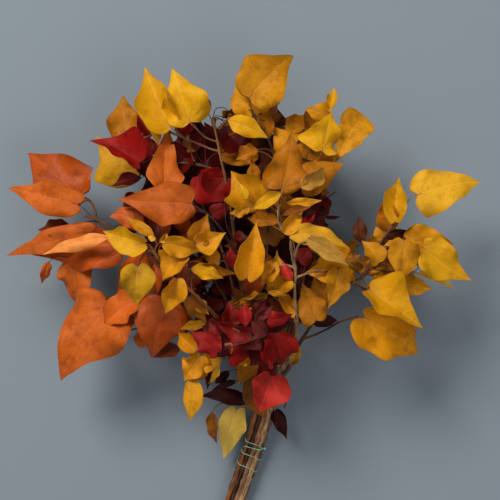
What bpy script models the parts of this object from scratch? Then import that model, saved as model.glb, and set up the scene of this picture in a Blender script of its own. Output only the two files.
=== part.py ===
"""Autumn leaf bunch: sixteen dried ivy branches, tied low down with thin string, lying on a surface.

The bunch lies on its back, and +Z is up. A place on a branch is written (across, down, height) in
millimetres: how far across and down it lies in a frame of 500 mm by 500 mm, as an eye high above the
middle of that frame sees it, and how high it is above the surface. The stems point down the frame.
Each branch is one grown piece: a stem, its twigs, the leaf stalks and the blades.
"""

import math
import random

import bmesh
import bpy
from mathutils import Quaternion, Vector
from mathutils.bvhtree import BVHTree

# Driving dimensions, in millimetres
MM = 0.001
FRAME_MIDDLE = 250.0
EYE_HEIGHT = 1600.0
EYE_LEVEL = 90.0
STEM_RADIUS = 2.1
STEM_TIP_RADIUS = 1.15
TWIG_RADIUS = 1.15
STALK_RADIUS = 0.8
BLADE_THICKNESS = 1.3
LANE_PITCH = 4.6
ROW_PITCH = 4.0
BUTT_SPREAD = 5.0
CLEARANCE = 0.6
STRING_RADIUS = 0.6
STRING_GAP = 0.45
STRING_START = 437.0
STRING_PITCH = 12.5
STRING_TURNS = 3
KNOT_RADIUS = 1.4

# Counts of sides and steps
STEM_SIDES = 5
TWIG_SIDES = 4
STALK_SIDES = 3
STALK_STEPS = 4
STRAIGHT_ENOUGH = 0.7
STALK_STRAYS = 1.2
SMALLEST_EDGES = (0.4, 0.35, 0.3, 0.25, 0.2, 0.15, 0.1)
LEAST_EDGE = 0.001
FLAT_ENOUGH = math.radians(0.3)
STRING_SIDES = 6
STRING_STEPS = 18

# How a leaf gives way to the branches beside it: along the line of sight, then along its stem
DEPTH_STEPS = (0, -5, -10, -15, -20, -26, -32, 5, -40, -50, 10, -60)
STALK_SLANTS = (0.6, 1.2, 0.2, 2.0)
SHORTEST_STALK = 2.5
STALK_APPROACH = 5.0
LOWEST_LEAF = 0.3

# The middle line of the tied stems, from the cut ends up to where they part
BUNDLE = ((218, 555, 8.2), (230, 515, 8.3), (242, 480, 10.5), (249, 460, 13), (256, 440, 17),
          (262, 417, 24), (266, 395, 33))
# Past the tied part the stems fan out: (across, down, height, spread of the stems)
FAN = ((267, 378, 43, 1.9), (268, 362, 54, 3.0))
LANE_ROWS = (
    ("gold_stem_4", "orange_stem_3", "red_stem_2", "gold_stem_6"),
    ("gold_stem_5", "gold_stem_1", "gold_stem_2", "red_stem_3"),
    ("orange_stem_1", "red_stem_1", "red_stem_4", "gold_stem_3"),
    ("orange_stem_2", "red_stem_6", "red_stem_5", "gold_stem_7"),
)

# Outlines of half a blade: (along, across), as parts of its length and of half its width
HEART = ((-0.07, 0.42), (0.18, 1.0), (0.48, 0.86), (0.76, 0.40))
LOBED = ((-0.05, 0.44), (0.14, 0.92), (0.38, 1.0), (0.62, 0.68), (0.84, 0.26))
NARROW = ((0.18, 0.74), (0.50, 1.0), (0.80, 0.46))
PLAIN = ((-0.06, 0.42), (0.22, 1.0), (0.62, 0.62))
SMALL = ((0.25, 0.9), (0.66, 0.75))
SMALL_LENGTH = 21.0
LOBED_LENGTH = 42.0

# Where leaves inside the head may show between those in front: (across, down, radius)
HEAD = ((205, 185, 62), (255, 190, 62), (215, 250, 62), (265, 255, 50), (235, 310, 55), (260, 330, 45))

# Each branch: its route past the tied stems, its twigs and its leaves.
# A leaf is (base across, base down, tip across, tip down, width, height, outline).
BRANCHES = {
    "gold_stem_1": {
        "color": (0.76, 0.50, 0.05),
        "route": ((256, 335, 80), (240, 280, 95), (232, 220, 105), (225, 175, 115), (220, 155, 118),
                  (216, 135, 120), (213.5, 117, 122)),
        "twigs": (((219, 152, 118), (203, 146, 120), (185, 138, 122), (174, 129, 124)),
                  ((217, 143, 119), (205, 137, 124), (197, 129, 128), (191, 123, 131)),
                  ((225, 172, 115), (200, 165, 108), (165, 163, 96), (143, 166, 92)),
                  ((188, 140, 121), (165, 132, 116), (140, 139, 112))),
        "leaves": ((171, 127, 144, 66.5, 36, 124, LOBED), (190, 121.5, 171.5, 68, 46, 132, LOBED),
                   (128, 140, 123, 92.5, 32, 112, HEART), (139, 170, 94, 137, 46, 92, LOBED),
                   (155, 116, 156.5, 146, 12, 118, NARROW)),
        "fill": 3,
    },
    "gold_stem_2": {
        "color": (0.62, 0.38, 0.05),
        "route": ((275, 330, 88), (268, 280, 100), (268, 230, 105), (272, 190, 112), (280, 160, 115),
                  (300, 140, 118)),
        "twigs": (((278, 165, 114), (268, 140, 118), (256, 120, 121), (250, 104, 124)),
                  ((300, 140, 118), (314, 131, 120), (327, 121, 123)),
                  ((288, 153, 117), (305, 160, 120), (322, 162, 121)),
                  ((268, 215, 107), (262, 200, 122), (260, 188, 130)),
                  ((272, 190, 112), (286, 188, 124), (298, 190, 132))),
        "leaves": ((250, 97, 294, 54.5, 58, 130, LOBED), (258, 113, 236, 79, 36, 122, LOBED),
                   (228, 120, 268, 138, 18, 128, NARROW), (262, 135, 270, 109, 24, 112, HEART),
                   (222, 152, 267, 140, 22, 118, HEART), (258, 150, 236, 160, 12, 122, NARROW),
                   (262, 172, 270, 141, 16, 100, HEART), (300, 160, 272, 126, 34, 118, HEART),
                   (281, 188, 291, 132, 36, 140, HEART), (257, 206, 231, 171, 34, 138, LOBED),
                   (256, 200, 252, 158, 16, 132, NARROW), (264, 197, 274, 172, 12, 128, NARROW),
                   (304, 128, 286, 118, 20, 110, HEART), (327, 117, 304.5, 109, 18, 122, HEART),
                   (329, 112, 334, 87, 9, 126, NARROW), (322, 150, 331, 111, 34, 128, LOBED),
                   (336, 161, 363, 115, 36, 118, LOBED), (325, 168, 331, 150, 12, 116, NARROW),
                   (300, 187, 328, 168, 16, 142, NARROW), (302, 184, 345, 164, 26, 138, HEART),
                   (287, 203, 322, 200, 9, 142, NARROW), (318, 170, 308, 151, 10, 116, NARROW)),
        "fill": 3,
    },
    "gold_stem_3": {
        "color": (0.80, 0.55, 0.04),
        "route": ((297, 347, 64), (320, 314, 88), (339, 293, 95), (352, 283, 100),
                  (362, 277, 103), (381, 262, 108)),
        "twigs": (((362, 277, 103), (375, 255, 112), (382, 241, 115), (392, 227, 118), (405, 204, 118)),
                  ((381, 262, 108), (395, 250, 120), (404, 242, 122), (420, 250, 118)),
                  ((300, 343, 75), (325, 330, 84), (340, 322.5, 92), (358, 316, 100)),
                  ((352, 283, 100), (366, 290, 92), (376, 298, 60), (384, 306, 24), (389, 313, 4)),
                  ((372, 269, 106), (388, 272, 112), (404, 273, 113))),
        "leaves": ((395, 221, 399, 176, 22, 124, HEART), (388, 228, 386, 193, 20, 114, HEART),
                   (418, 194.5, 484, 180, 44, 118, HEART), (408, 241, 455, 243, 34, 118, HEART),
                   (424, 248, 471, 280, 38, 126, LOBED), (417, 273, 457.5, 289, 10, 112, NARROW),
                   (404, 241, 401, 284, 30, 134, HEART), (379, 262, 362, 240, 21, 130, HEART),
                   (388, 256, 400, 241, 6, 128, NARROW), (395, 242, 384, 246, 6, 124, NARROW),
                   (362, 243, 360, 216, 14, 104, NARROW), (382, 240, 376, 226, 14, 108, NARROW),
                   (386, 238, 413, 232, 12, 104, NARROW), (408, 243, 422, 262, 14, 112, NARROW),
                   (378, 268, 350, 262, 20, 104, HEART), (385, 262, 360, 272, 18, 108, HEART),
                   (392, 275, 367, 288, 14, 110, NARROW), (370, 290, 424.5, 327, 45, 122, LOBED),
                   (400, 283, 433, 290, 20, 112, HEART), (366, 318, 418.5, 354, 50, 104, LOBED),
                   (391, 314, 396, 345, 26, 0, HEART)),
        "fill": 3,
    },
    "gold_stem_4": {
        "color": (0.74, 0.50, 0.07),
        "route": ((228, 335, 110), (212, 312, 135), (193, 293, 145), (180, 280, 150), (165, 268, 152),
                  (158, 257, 156), (151, 247, 158)),
        "twigs": (((192, 292, 146), (190, 270, 150), (186, 250, 152)),
                  ((158, 257, 156), (150, 251, 160), (141, 259, 163), (138, 266, 166))),
        "leaves": ((144.5, 243, 103.5, 231, 25, 165, HEART), (137.5, 267, 137.5, 306, 31, 168, HEART),
                   (177, 280, 165.5, 315, 19, 166, HEART), (154, 236, 126, 216, 11, 165, NARROW),
                   (155, 240, 148, 236, 6, 166, NARROW), (160, 242, 168, 233.5, 7, 164, NARROW),
                   (166, 243, 203, 251.5, 20, 168, HEART), (195, 242, 208, 214, 20, 158, HEART),
                   (197, 243, 226, 232, 22, 162, LOBED), (185, 256, 161, 281, 23, 160, HEART),
                   (192, 264, 237, 273.5, 14, 158, HEART), (191, 269, 224, 278, 14, 162, NARROW),
                   (252, 395, 266, 420, 20, 62, HEART), (252, 378, 246, 404, 14, 74, NARROW)),
        "fill": 0,
    },
    "gold_stem_5": {
        "color": (0.66, 0.44, 0.06),
        "route": ((232, 352, 85), (215, 348, 100), (198, 350, 108)),
        "twigs": (((234, 356, 80), (228, 345, 98), (222, 330, 107), (218, 316, 112)),
                  ((222, 330, 107), (240, 312, 130), (256, 300, 142)),
                  ((218, 316, 112), (206, 306, 114), (197, 301, 118))),
        "leaves": ((268, 294, 234, 303, 8, 146, NARROW), (264, 297, 235, 308, 9, 150, NARROW),
                   (196, 350, 177, 331, 14, 128, HEART), (200, 356, 184, 381, 18, 122, HEART),
                   (222, 360, 197, 359, 10, 118, NARROW), (193, 377, 189.5, 421, 17, 118, NARROW),
                   (206, 371, 197, 381, 8, 112, NARROW), (214, 363, 201, 369, 7, 110, NARROW),
                   (219, 364, 209, 386, 6, 112, NARROW), (211, 368, 207.5, 389.5, 6, 108, NARROW),
                   (243, 350, 230, 362, 14, 130, HEART), (252, 362, 238, 385, 22, 118, HEART),
                   (236, 410, 223.5, 460, 25, 60, HEART), (212, 412, 216, 444, 12, 50, NARROW),
                   (195, 298, 209, 314.5, 12, 140, NARROW), (190, 297, 207, 323, 18, 132, HEART),
                   (206, 323, 180, 329, 10, 130, NARROW)),
        "fill": 0,
    },
    "gold_stem_6": {
        "color": (0.72, 0.48, 0.08),
        "route": ((294, 346, 100), (296, 330, 120), (297, 316, 135), (295, 300, 142),
                  (294, 286, 148), (295, 268, 150), (292, 250, 152), (291, 235, 152)),
        "twigs": (((291, 235, 152), (283, 232, 150), (278, 215, 150), (280, 200, 148), (282, 190, 145)),
                  ((295, 268, 150), (285, 265, 154), (274, 270, 158)),
                  ((296, 278, 149), (312, 272, 146), (328, 272, 142)),
                  ((293, 258, 151), (296, 250, 160), (301, 243, 168), (311, 239, 173))),
        "leaves": ((247, 199, 239, 183, 8, 150, NARROW), (250, 207, 229, 214, 9, 150, NARROW),
                   (281, 193, 251, 210, 12, 152, NARROW), (279, 222, 246, 217, 14, 148, NARROW),
                   (247, 277, 256.5, 221, 28, 160, HEART), (273, 263, 261, 286.5, 16, 164, HEART),
                   (272, 292, 280, 250, 22, 166, HEART), (268, 292, 287, 296, 6, 160, NARROW),
                   (284, 231, 304, 211.5, 14, 162, HEART), (283, 215, 311, 207, 7, 158, NARROW),
                   (295, 233, 351, 249, 20, 170, HEART), (311, 239, 349, 267, 17, 176, HEART),
                   (345, 278, 304.5, 272.5, 26, 140, HEART), (338, 270, 328, 309, 22, 136, HEART),
                   (316, 320, 302, 283, 32, 140, HEART), (294, 318, 275, 289, 9, 144, NARROW),
                   (299, 346, 289, 367, 12, 85, NARROW)),
        "fill": 0,
    },
    "gold_stem_7": {
        "color": (0.50, 0.30, 0.05),
        "route": ((292, 330, 44), (292, 270, 50), (300, 200, 50), (310, 160, 44)),
        "twigs": (((297, 225, 50), (318, 205, 40), (335, 192, 28)),
                  ((290, 270, 50), (312, 262, 38), (330, 262, 26))),
        "leaves": (),
        "fill": 14,
    },
    "orange_stem_1": {
        "color": (0.62, 0.20, 0.03),
        "route": ((222, 340, 66), (180, 290, 88), (140, 245, 95), (117, 230, 97), (95, 219, 98),
                  (85, 216, 99)),
        "twigs": (((95, 219, 98), (95, 212, 98), (93, 205, 97), (88, 199, 94), (82, 196.5, 90)),
                  ((140, 245, 95), (118, 252, 90), (95, 258, 84), (76, 264, 82))),
        "leaves": ((79, 195, 28, 153, 52, 88, LOBED), (77, 204, 5, 186.5, 32, 104, LOBED),
                   (74, 207, 50, 209, 8, 80, NARROW), (70, 226, 38, 230, 18, 78, NARROW),
                   (91, 232, 5, 256.5, 40, 106, LOBED), (110, 237, 43, 255, 13, 116, NARROW),
                   (117, 247, 30, 255, 38, 100, LOBED), (49, 262, 42, 284, 11, 82, NARROW),
                   (72, 266, 75, 306, 33, 80, HEART)),
        "fill": 5,
    },
    "orange_stem_2": {
        "color": (0.58, 0.17, 0.02),
        "route": ((228, 352, 50), (200, 343, 66), (170, 320, 82), (150, 305, 92), (120, 303, 95)),
        "twigs": (((172, 322, 84), (160, 322, 74), (146, 326, 44), (132, 330, 18), (122, 332, 4)),
                  ((170, 320, 85), (168, 308, 100), (167, 301, 112)),
                  ((150, 305, 92), (152, 285, 90), (150, 268, 90))),
        "leaves": ((110, 307, 57.5, 381, 76, 98, LOBED), (134, 301, 100, 328, 28, 110, HEART),
                   (166, 302, 151.5, 361, 50, 118, LOBED), (180, 349, 154, 358, 14, 92, NARROW),
                   (146, 334, 140, 349, 18, 86, HEART), (150, 262, 113, 306, 42, 88, HEART),
                   (140, 285, 122, 296, 12, 90, NARROW), (120, 332, 84, 345, 30, 0, HEART)),
        "fill": 5,
    },
    "orange_stem_3": {
        "color": (0.66, 0.24, 0.04),
        "route": ((250, 335, 98), (240, 270, 115), (228, 238, 125), (215, 222, 130), (203, 211, 134),
                  (192, 204, 136)),
        "twigs": (((203, 211, 134), (185, 208, 128), (165, 210, 120), (148, 205, 118)),
                  ((185, 208, 128), (172, 198, 126), (166, 190, 125))),
        "leaves": ((164, 187, 167, 128, 27, 124, HEART), (191, 203, 118.5, 198.5, 40, 140, LOBED),
                   (142, 216, 109, 217, 26, 112, HEART), (192, 232, 171, 219, 12, 96, NARROW),
                   (140, 196, 122, 206, 14, 118, NARROW)),
        "fill": 3,
    },
    "red_stem_1": {
        "color": (0.36, 0.02, 0.02),
        "route": ((245, 335, 62), (225, 260, 80), (200, 200, 92), (170, 170, 100), (152, 160, 106)),
        "twigs": (((200, 200, 92), (205, 178, 100), (208, 160, 104)),
                  ((207, 215, 90), (222, 200, 100), (226, 185, 104)),
                  ((175, 175, 99), (160, 158, 112), (152, 148, 116))),
        "leaves": ((139, 162, 90, 137.5, 34, 126, LOBED), (141, 178, 112, 186.5, 12, 112, NARROW),
                   (150, 138, 137, 114, 14, 116, NARROW), (152, 155, 134, 132, 18, 112, HEART),
                   (192, 122, 179, 137, 14, 110, NARROW), (199, 176, 226, 201, 36, 118, LOBED),
                   (196, 150, 198, 128, 14, 104, NARROW), (225, 165, 205, 121, 40, 96, HEART),
                   (150, 178, 140, 150, 16, 100, NARROW), (222, 205, 203, 203, 14, 108, HEART)),
        "fill": 7,
    },
    "red_stem_2": {
        "color": (0.40, 0.02, 0.03),
        "route": ((276, 351, 104), (275, 342, 136), (262, 337, 150), (245, 341, 150), (225, 345, 148)),
        "twigs": (((245, 341, 150), (240, 333, 153), (233, 328, 155)),
                  ((262, 337, 150), (262, 327, 154), (259, 321, 156)),
                  ((269.5, 376, 58), (262, 384, 66), (252, 394, 62), (243, 398, 56))),
        "leaves": ((230, 324, 229, 301, 17, 156, HEART), (246, 326, 245, 303, 11, 157, NARROW),
                   (250, 334, 212, 322, 16, 158, HEART), (218, 346, 209, 322, 9, 150, NARROW),
                   (217, 352, 190, 331, 17, 152, HEART), (266, 335, 251, 321, 14, 160, HEART),
                   (256, 319, 273, 306, 7, 156, NARROW), (268, 320, 294, 314, 14, 158, HEART),
                   (276, 334, 282, 366, 28, 150, HEART), (267, 340, 271, 369, 12, 146, NARROW),
                   (264, 341, 246, 348, 9, 152, NARROW), (242, 399, 197, 396, 14, 50, HEART),
                   (229, 371, 215, 384, 8, 80, NARROW), (236, 381, 212, 389.5, 7, 74, NARROW)),
        "fill": 0,
    },
    "red_stem_3": {
        "fan": 1,
        "color": (0.42, 0.03, 0.03),
        "route": ((290, 366, 74), (287, 362, 95), (278, 366, 110)),
        "twigs": (((278, 392, 40), (287, 396, 40), (284, 408, 38)),),
        "leaves": ((271, 377, 260, 412, 40, 112, HEART), (275, 412, 287, 439, 15, 34, HEART)),
        "fill": 0,
    },
    "red_stem_4": {
        "color": (0.24, 0.01, 0.02),
        "route": ((286, 335, 66), (300, 300, 82), (308, 250, 95), (312, 220, 98)),
        "twigs": (((297, 312, 82), (306, 318, 92), (311, 321, 98)),),
        "leaves": ((298, 280, 310, 238, 16, 110, NARROW), (321, 214, 323, 204, 5, 100, NARROW),
                   (325, 217, 341, 217, 4, 98, NARROW), (299, 225, 320, 199, 9, 104, NARROW),
                   (313, 320, 297, 320, 11, 102, NARROW), (312, 322, 338, 320, 13, 98, NARROW)),
        "fill": 5,
    },
    "red_stem_5": {
        "color": (0.18, 0.01, 0.02),
        "route": ((262, 330, 44), (238, 270, 55), (225, 200, 55), (218, 160, 36), (214, 132, 12),
                  (212, 121, 4)),
        "twigs": (((226, 210, 55), (245, 185, 66), (255, 165, 70)),
                  ((238, 270, 55), (255, 240, 66), (262, 215, 70))),
        "leaves": ((206, 112, 182, 97, 24, 0, HEART),),
        "fill": 14,
    },
    "red_stem_6": {
        "color": (0.20, 0.01, 0.02),
        "route": ((240, 325, 42), (205, 260, 50), (185, 200, 50), (172, 165, 44)),
        "twigs": (((208, 268, 50), (185, 250, 58), (165, 240, 60)),
                  ((190, 215, 50), (205, 190, 62), (210, 170, 66))),
        "leaves": (),
        "fill": 12,
    },
}

FILL_TRIES = 60
FILL_SPREAD = (14, 30)
FILL_LENGTH = (26, 46)


def place(across, down, height):
    """The point at this height that lies on the line of sight through this place in the frame."""
    spread = (EYE_HEIGHT + EYE_LEVEL - height) / EYE_HEIGHT
    return Vector(((across - FRAME_MIDDLE) * spread, (FRAME_MIDDLE - down) * spread, height))


def smooth(points, steps):
    """A smooth line through the points, with this many steps between each two."""
    line = [points[0]]
    for i in range(len(points) - 1):
        before = points[i - 1] if i else points[0] * 2 - points[1]
        after = points[i + 2] if i + 2 < len(points) else points[-1] * 2 - points[-2]
        span = (points[i + 1] - points[i]).length
        lead = (points[i + 1] - before) * (span / (span + (points[i] - before).length))
        tail = (after - points[i]) * (span / (span + (after - points[i + 1]).length))
        for step in range(1, steps + 1):
            t = step / steps
            line.append(points[i] * (2 * t**3 - 3 * t**2 + 1) + lead * (t**3 - 2 * t**2 + t)
                        + points[i + 1] * (3 * t**2 - 2 * t**3) + tail * (t**3 - t**2))
    return line


def thin(line, allowed=STRAIGHT_ENOUGH):
    """The numbers of the points that keep the line within the allowed distance of its own course."""
    kept = [0]
    while kept[-1] < len(line) - 1:
        start = kept[-1]
        end = start + 1
        while end + 1 < len(line) and strays(line[start:end + 2]) <= allowed:
            end += 1
        kept.append(end)
    return kept


def strays(line):
    """How far the line strays from the straight run between its ends."""
    run = (line[-1] - line[0]).normalized()
    return max((point - line[0] - run * (point - line[0]).dot(run)).length for point in line)


def tube(line, radii, sides, across=None):
    """The points and faces of a tube along the line, open at its start where across sets its first spoke."""
    points, faces = [], []
    ahead = (line[1] - line[0]).normalized()
    capped = across is None
    if capped:
        across = ahead.cross(Vector((0.31, 0.17, 0.93))).normalized()
    for i, middle in enumerate(line):
        if i or capped:
            turned = (line[min(i + 1, len(line) - 1)] - line[max(i - 1, 0)]).normalized()
            across = (ahead.rotation_difference(turned) @ across).normalized()
            ahead = turned
        for side in range(sides):
            spoke = Quaternion(ahead, 2 * math.pi * side / sides) @ across
            points.append(middle + spoke * radii[i])
    for i in range(len(line) - 1):
        for side in range(sides):
            low, next_low = i * sides + side, i * sides + (side + 1) % sides
            faces.append((low, next_low, next_low + sides))
            faces.append((low, next_low + sides, low + sides))
    last = (len(line) - 1) * sides
    for side in range(1, sides - 1):
        if capped:
            faces.append((0, side + 1, side))
        faces.append((last, last + side, last + side + 1))
    return points, faces


class Leaf:
    """One blade from its base to its tip, with the stalk that carries it."""

    def __init__(self, base, tip, width, outline, seed, flat=False):
        draw = random.Random(seed)
        self.base, self.tip, self.outline, self.flat = base, tip, outline, flat
        self.length = (tip - base).length
        self.along = (tip - base) / self.length
        tilt = math.radians(draw.uniform(-28, 28))
        fold = math.radians(draw.uniform(8, 22))
        self.arch = draw.uniform(0.02, 0.11)
        self.sway = draw.uniform(-0.05, 0.05)
        self.ripple = draw.uniform(0.03, 0.08)
        self.phase = draw.uniform(0, 2 * math.pi)
        if flat:
            tilt = fold = self.arch = self.ripple = 0
        upright = Vector((0, 0, 1)) - self.along * self.along.z
        if upright.length < 0.05:
            upright = Vector((0, 1, 0)) - self.along * self.along.y
        self.normal = Quaternion(self.along, tilt) @ upright.normalized()
        self.side = self.along.cross(self.normal)
        self.half_width = width / 2 / math.cos(tilt)
        self.spread, self.rise = math.cos(fold), math.sin(fold)

    def surface(self, t, x):
        """The point of the blade at t along its length and x across, from -1 to 1."""
        bow = 4 * t * (1 - t) * self.length
        lift = self.half_width * (abs(x) * self.rise + self.ripple * x * x * math.sin(9 * t + self.phase + x))
        return (self.base + self.along * (t * self.length) + self.side
                * (x * self.half_width * self.spread + self.sway * bow)
                + self.normal * (self.arch * bow + lift))

    def blade(self, grow=0.0, base_ring=None):
        """The points and faces of the blade, a thin lens split alike on both faces.

        base_ring holds the numbers of the three points round the stalk that the blade grows from.
        Without it the blade ends in a point of its own at the base.
        """
        half = BLADE_THICKNESS / 2 + grow
        stretch, widen = grow / self.length, 1 + grow / self.half_width
        points = [self.surface(1 + stretch, 0)]
        first = max(base_ring) + 1 if base_ring else 0
        if not base_ring:
            points.append(self.surface(-stretch, 0))
        head, left_foot, right_foot = base_ring or (1, 1, 1)
        left, right, top, bottom = [], [], [head], [None]
        for t, x in self.outline:
            for rim, sign in ((left, -1), (right, 1)):
                rim.append(first + len(points))
                points.append(self.surface(t, sign * x * widen))
            if t > 0:
                for face, sign in ((top, 1), (bottom, -1)):
                    face.append(first + len(points))
                    points.append(self.surface(t, 0) + self.normal * (sign * half))
        if self.flat:
            self.press(points, [k - first for k in top[1:]])
        faces = []
        for rim, foot, hand in ((left, left_foot, 1), (right, right_foot, -1)):
            sheet = self.strip(top, rim, first)
            sheet.extend(face[::-1] for face in self.strip([foot] + bottom[1:], rim, first))
            if base_ring:
                sheet.append((head, rim[0], foot))
            faces.extend(face if hand > 0 else face[::-1] for face in sheet)
        if base_ring:
            faces.append((left_foot, bottom[1], right_foot))
        return points, faces

    @staticmethod
    def strip(middle, rim, tip):
        """The triangles between the midrib and one edge, from the base to the tip."""
        lobes = len(rim) - (len(middle) - 1)
        faces = [(middle[0], rim[i + 1], rim[i]) for i in range(lobes)]
        for i in range(1, len(middle)):
            edge = rim[i - 1 + lobes]
            faces.append((middle[i - 1], middle[i], edge))
            ahead = rim[i + lobes] if i + lobes < len(rim) else tip
            faces.append((middle[i], ahead, edge))
        return faces

    @staticmethod
    def press(points, top):
        """Lay the blade's whole lower face on the surface."""
        for k, point in enumerate(points):
            point.z = BLADE_THICKNESS if k in top else 0.0

    def stalk_line(self, root, lead):
        """The line of the stalk, from the blade's base to inside its stem."""
        reach = (self.base - root).length
        first = root + lead * (reach * 0.35)
        second = self.base - self.along * max(reach * 0.3, min(reach * 0.8, STALK_APPROACH))
        line = []
        for step in range(STALK_STEPS + 1):
            t = 1 - step / STALK_STEPS
            line.append(root * (1 - t)**3 + first * (3 * t * (1 - t)**2) + second * (3 * t * t * (1 - t))
                        + self.base * t**3)
        return [line[k] for k in thin(line)]

    def solid(self, root, lead):
        """The stalk and the blade as one closed piece."""
        line = self.stalk_line(root, lead)
        points, faces = tube(line, [STALK_RADIUS] * len(line), STALK_SIDES, self.normal)
        ring = (0, 1, 2)
        blade_points, blade_faces = self.blade(base_ring=ring)
        shift = len(points) - len(ring)
        faces.extend(tuple(k if k in ring else k + shift for k in face) for face in blade_faces)
        return points + blade_points, faces


class Branch:
    """A stem with its twigs, and the leaves that it has been given."""

    def __init__(self, name):
        facts = BRANCHES[name]
        self.name, self.color = name, facts["color"]
        lane = bundle_lane(name)
        fan = fan_lane(name)[:facts.get("fan", len(FAN))]
        route = smooth(lane + fan + [place(*point) for point in facts["route"]], 4)
        free = route[4 * (len(lane) - 1):]
        kept = thin(free)
        taper = stem_radii(len(free))
        self.axes = [lane + [free[k] for k in kept[1:]]]
        self.radii = [[STEM_RADIUS] * len(lane) + [taper[k] for k in kept[1:]]]
        for twig in facts["twigs"]:
            points = [place(*point) for point in twig]
            points[0] = self.on_wood(points[0])
            line = smooth(points, 4)
            line = [line[k] for k in thin(line)]
            self.axes.append(line)
            self.radii.append([TWIG_RADIUS] * len(line))
        self.pieces = []
        for i, line in enumerate(self.axes):
            sides = TWIG_SIDES if i else STEM_SIDES
            self.pieces.append(tube(line, self.radii[i], sides))
        self.blades = []
        self.walk = self.walk_points()

    def on_wood(self, point):
        """The nearest place to the point on the middle of the wood that is there so far."""
        near = []
        for line in self.axes:
            for low, high in zip(line, line[1:]):
                run = high - low
                part = min(0.93, max(0.07, (point - low).dot(run) / run.length_squared))
                near.append(low + run * part)
        return min(near, key=lambda place_on: (place_on - point).length)

    def walk_points(self):
        """Places on the stem and twigs where a stalk may root, with how the wood runs there."""
        found = []
        for i, line in enumerate(self.axes):
            start = len(BUNDLE) - 2 if i == 0 else 0
            path = line[start:]
            for low, high in zip(path, path[1:]):
                count = max(1, round((high - low).length / 4))
                for step in range(count):
                    found.append((low.lerp(high, step / count), (high - low).normalized(), i))
            found.append((path[-1], (path[-1] - path[-2]).normalized(), i))
        return found

    def roots(self, leaf):
        """Roots for the leaf's stalk, near its base first and then further down the wood."""
        nearest = min(range(len(self.walk)), key=lambda k: (self.walk[k][0] - leaf.base).length)
        away = (self.walk[nearest][0] - leaf.base).length
        for slant in STALK_SLANTS:
            k, gone = nearest, 0.0
            while gone < max(slant * away, SHORTEST_STALK - away):
                if not k or self.walk[k - 1][2] != self.walk[k][2]:
                    break
                gone += (self.walk[k][0] - self.walk[k - 1][0]).length
                k -= 1
            if (self.walk[k][0] - leaf.base).length > SHORTEST_STALK:
                yield self.walk[k][0], self.walk[k][1]


def lane_offset(name):
    """How far the stem lies to the right of the middle of the bundle, and how far above it."""
    row = next(i for i, names in enumerate(LANE_ROWS) if name in names)
    column = LANE_ROWS[row].index(name)
    sideways = (column - 1.5 + (0.25 if row % 2 else -0.25)) * LANE_PITCH
    return sideways, (1.5 - row) * ROW_PITCH


def fan_lane(name):
    """The stem's places where the stems fan out past the tied part."""
    sideways, upward = lane_offset(name)
    return [place(across, down, height) + Vector((sideways, 0, upward)) * spread
            for across, down, height, spread in FAN]


def bundle_lane(name):
    """The stem's own line through the tied part of the bunch."""
    sideways, upward = lane_offset(name)
    middle = [place(*point) for point in BUNDLE]
    middle[0] += (middle[0] - middle[1]).normalized() * random.Random(name).uniform(-BUTT_SPREAD, BUTT_SPREAD)
    lane = []
    for i, point in enumerate(middle):
        ahead = middle[min(i + 1, len(middle) - 1)] - middle[max(i - 1, 0)]
        across = Vector((ahead.y, -ahead.x, 0)).normalized()
        lane.append(point + across * sideways + across.cross(ahead).normalized() * upward)
    return lane


def stem_radii(count):
    """The taper of a stem from the tied part to its end."""
    return [STEM_RADIUS + (STEM_TIP_RADIUS - STEM_RADIUS) * (i / (count - 1))**0.7 for i in range(count)]


def subdivide(line, steps):
    """The same straight runs with this many steps in each."""
    return [low.lerp(high, step / steps) for low, high in zip(line, line[1:]) for step in range(steps)]


def traced_leaf(name, index, depth):
    """Leaf number index of the branch, moved by depth along the line of sight."""
    across, down, tip_across, tip_down, width, height, outline = BRANCHES[name]["leaves"][index]
    seed = f"{name} {index}"
    if height == 0:
        ends = [place(*end, STALK_RADIUS) for end in ((across, down), (tip_across, tip_down))]
        return Leaf(*ends, width, outline, seed, True)
    size = math.hypot(tip_across - across, tip_down - down)
    if size < SMALL_LENGTH:
        outline = SMALL
    elif size < LOBED_LENGTH and outline is LOBED:
        outline = HEART
    drop = random.Random(seed + " drop").uniform(-0.05, 0.45) * size
    base = place(across, down, height + depth)
    tip = place(tip_across, tip_down, height + depth - drop)
    return Leaf(base, tip, width, outline, seed)


def fill_leaf(branch, index):
    """Try number index at a leaf that fills the inside or the back of the bunch."""
    seed = f"{branch.name} fill {index}"
    draw = random.Random(seed)
    root, lead, _ = branch.walk[draw.randrange(len(branch.walk))]
    turn = draw.uniform(0, 2 * math.pi)
    out = Vector((math.cos(turn), math.sin(turn) + 0.5, draw.uniform(-0.9, 0.5))).normalized()
    base = root + (out + lead * 0.4).normalized() * draw.uniform(*FILL_SPREAD)
    length = draw.uniform(*FILL_LENGTH)
    way = (out + Vector((draw.uniform(-0.5, 0.5), draw.uniform(-0.3, 0.7), draw.uniform(-0.8, 0.2)))).normalized()
    return Leaf(base, base + way * length, length * draw.uniform(0.6, 0.8), PLAIN, seed)


class Clearance:
    """Keeps what has been placed, and says what a new piece would touch."""

    def __init__(self):
        self.placed = []

    @staticmethod
    def tree(piece):
        """The piece as a search tree with the corners of its box."""
        points, faces = piece
        low = Vector(min(p[k] for p in points) for k in range(3))
        high = Vector(max(p[k] for p in points) for k in range(3))
        return BVHTree.FromPolygons(points, faces), low, high

    def add(self, owner, kind, piece):
        """Remember a piece of this branch."""
        self.placed.append((owner, kind) + self.tree(piece))

    def touches(self, piece, free_of):
        """Whether the piece meets a placed one that free_of picks out."""
        tree, low, high = self.tree(piece)
        for owner, kind, other, other_low, other_high in self.placed:
            if not free_of(owner, kind):
                continue
            if any(low[k] > other_high[k] or high[k] < other_low[k] for k in range(3)):
                continue
            if tree.overlap(other):
                return True
        return False


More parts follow.
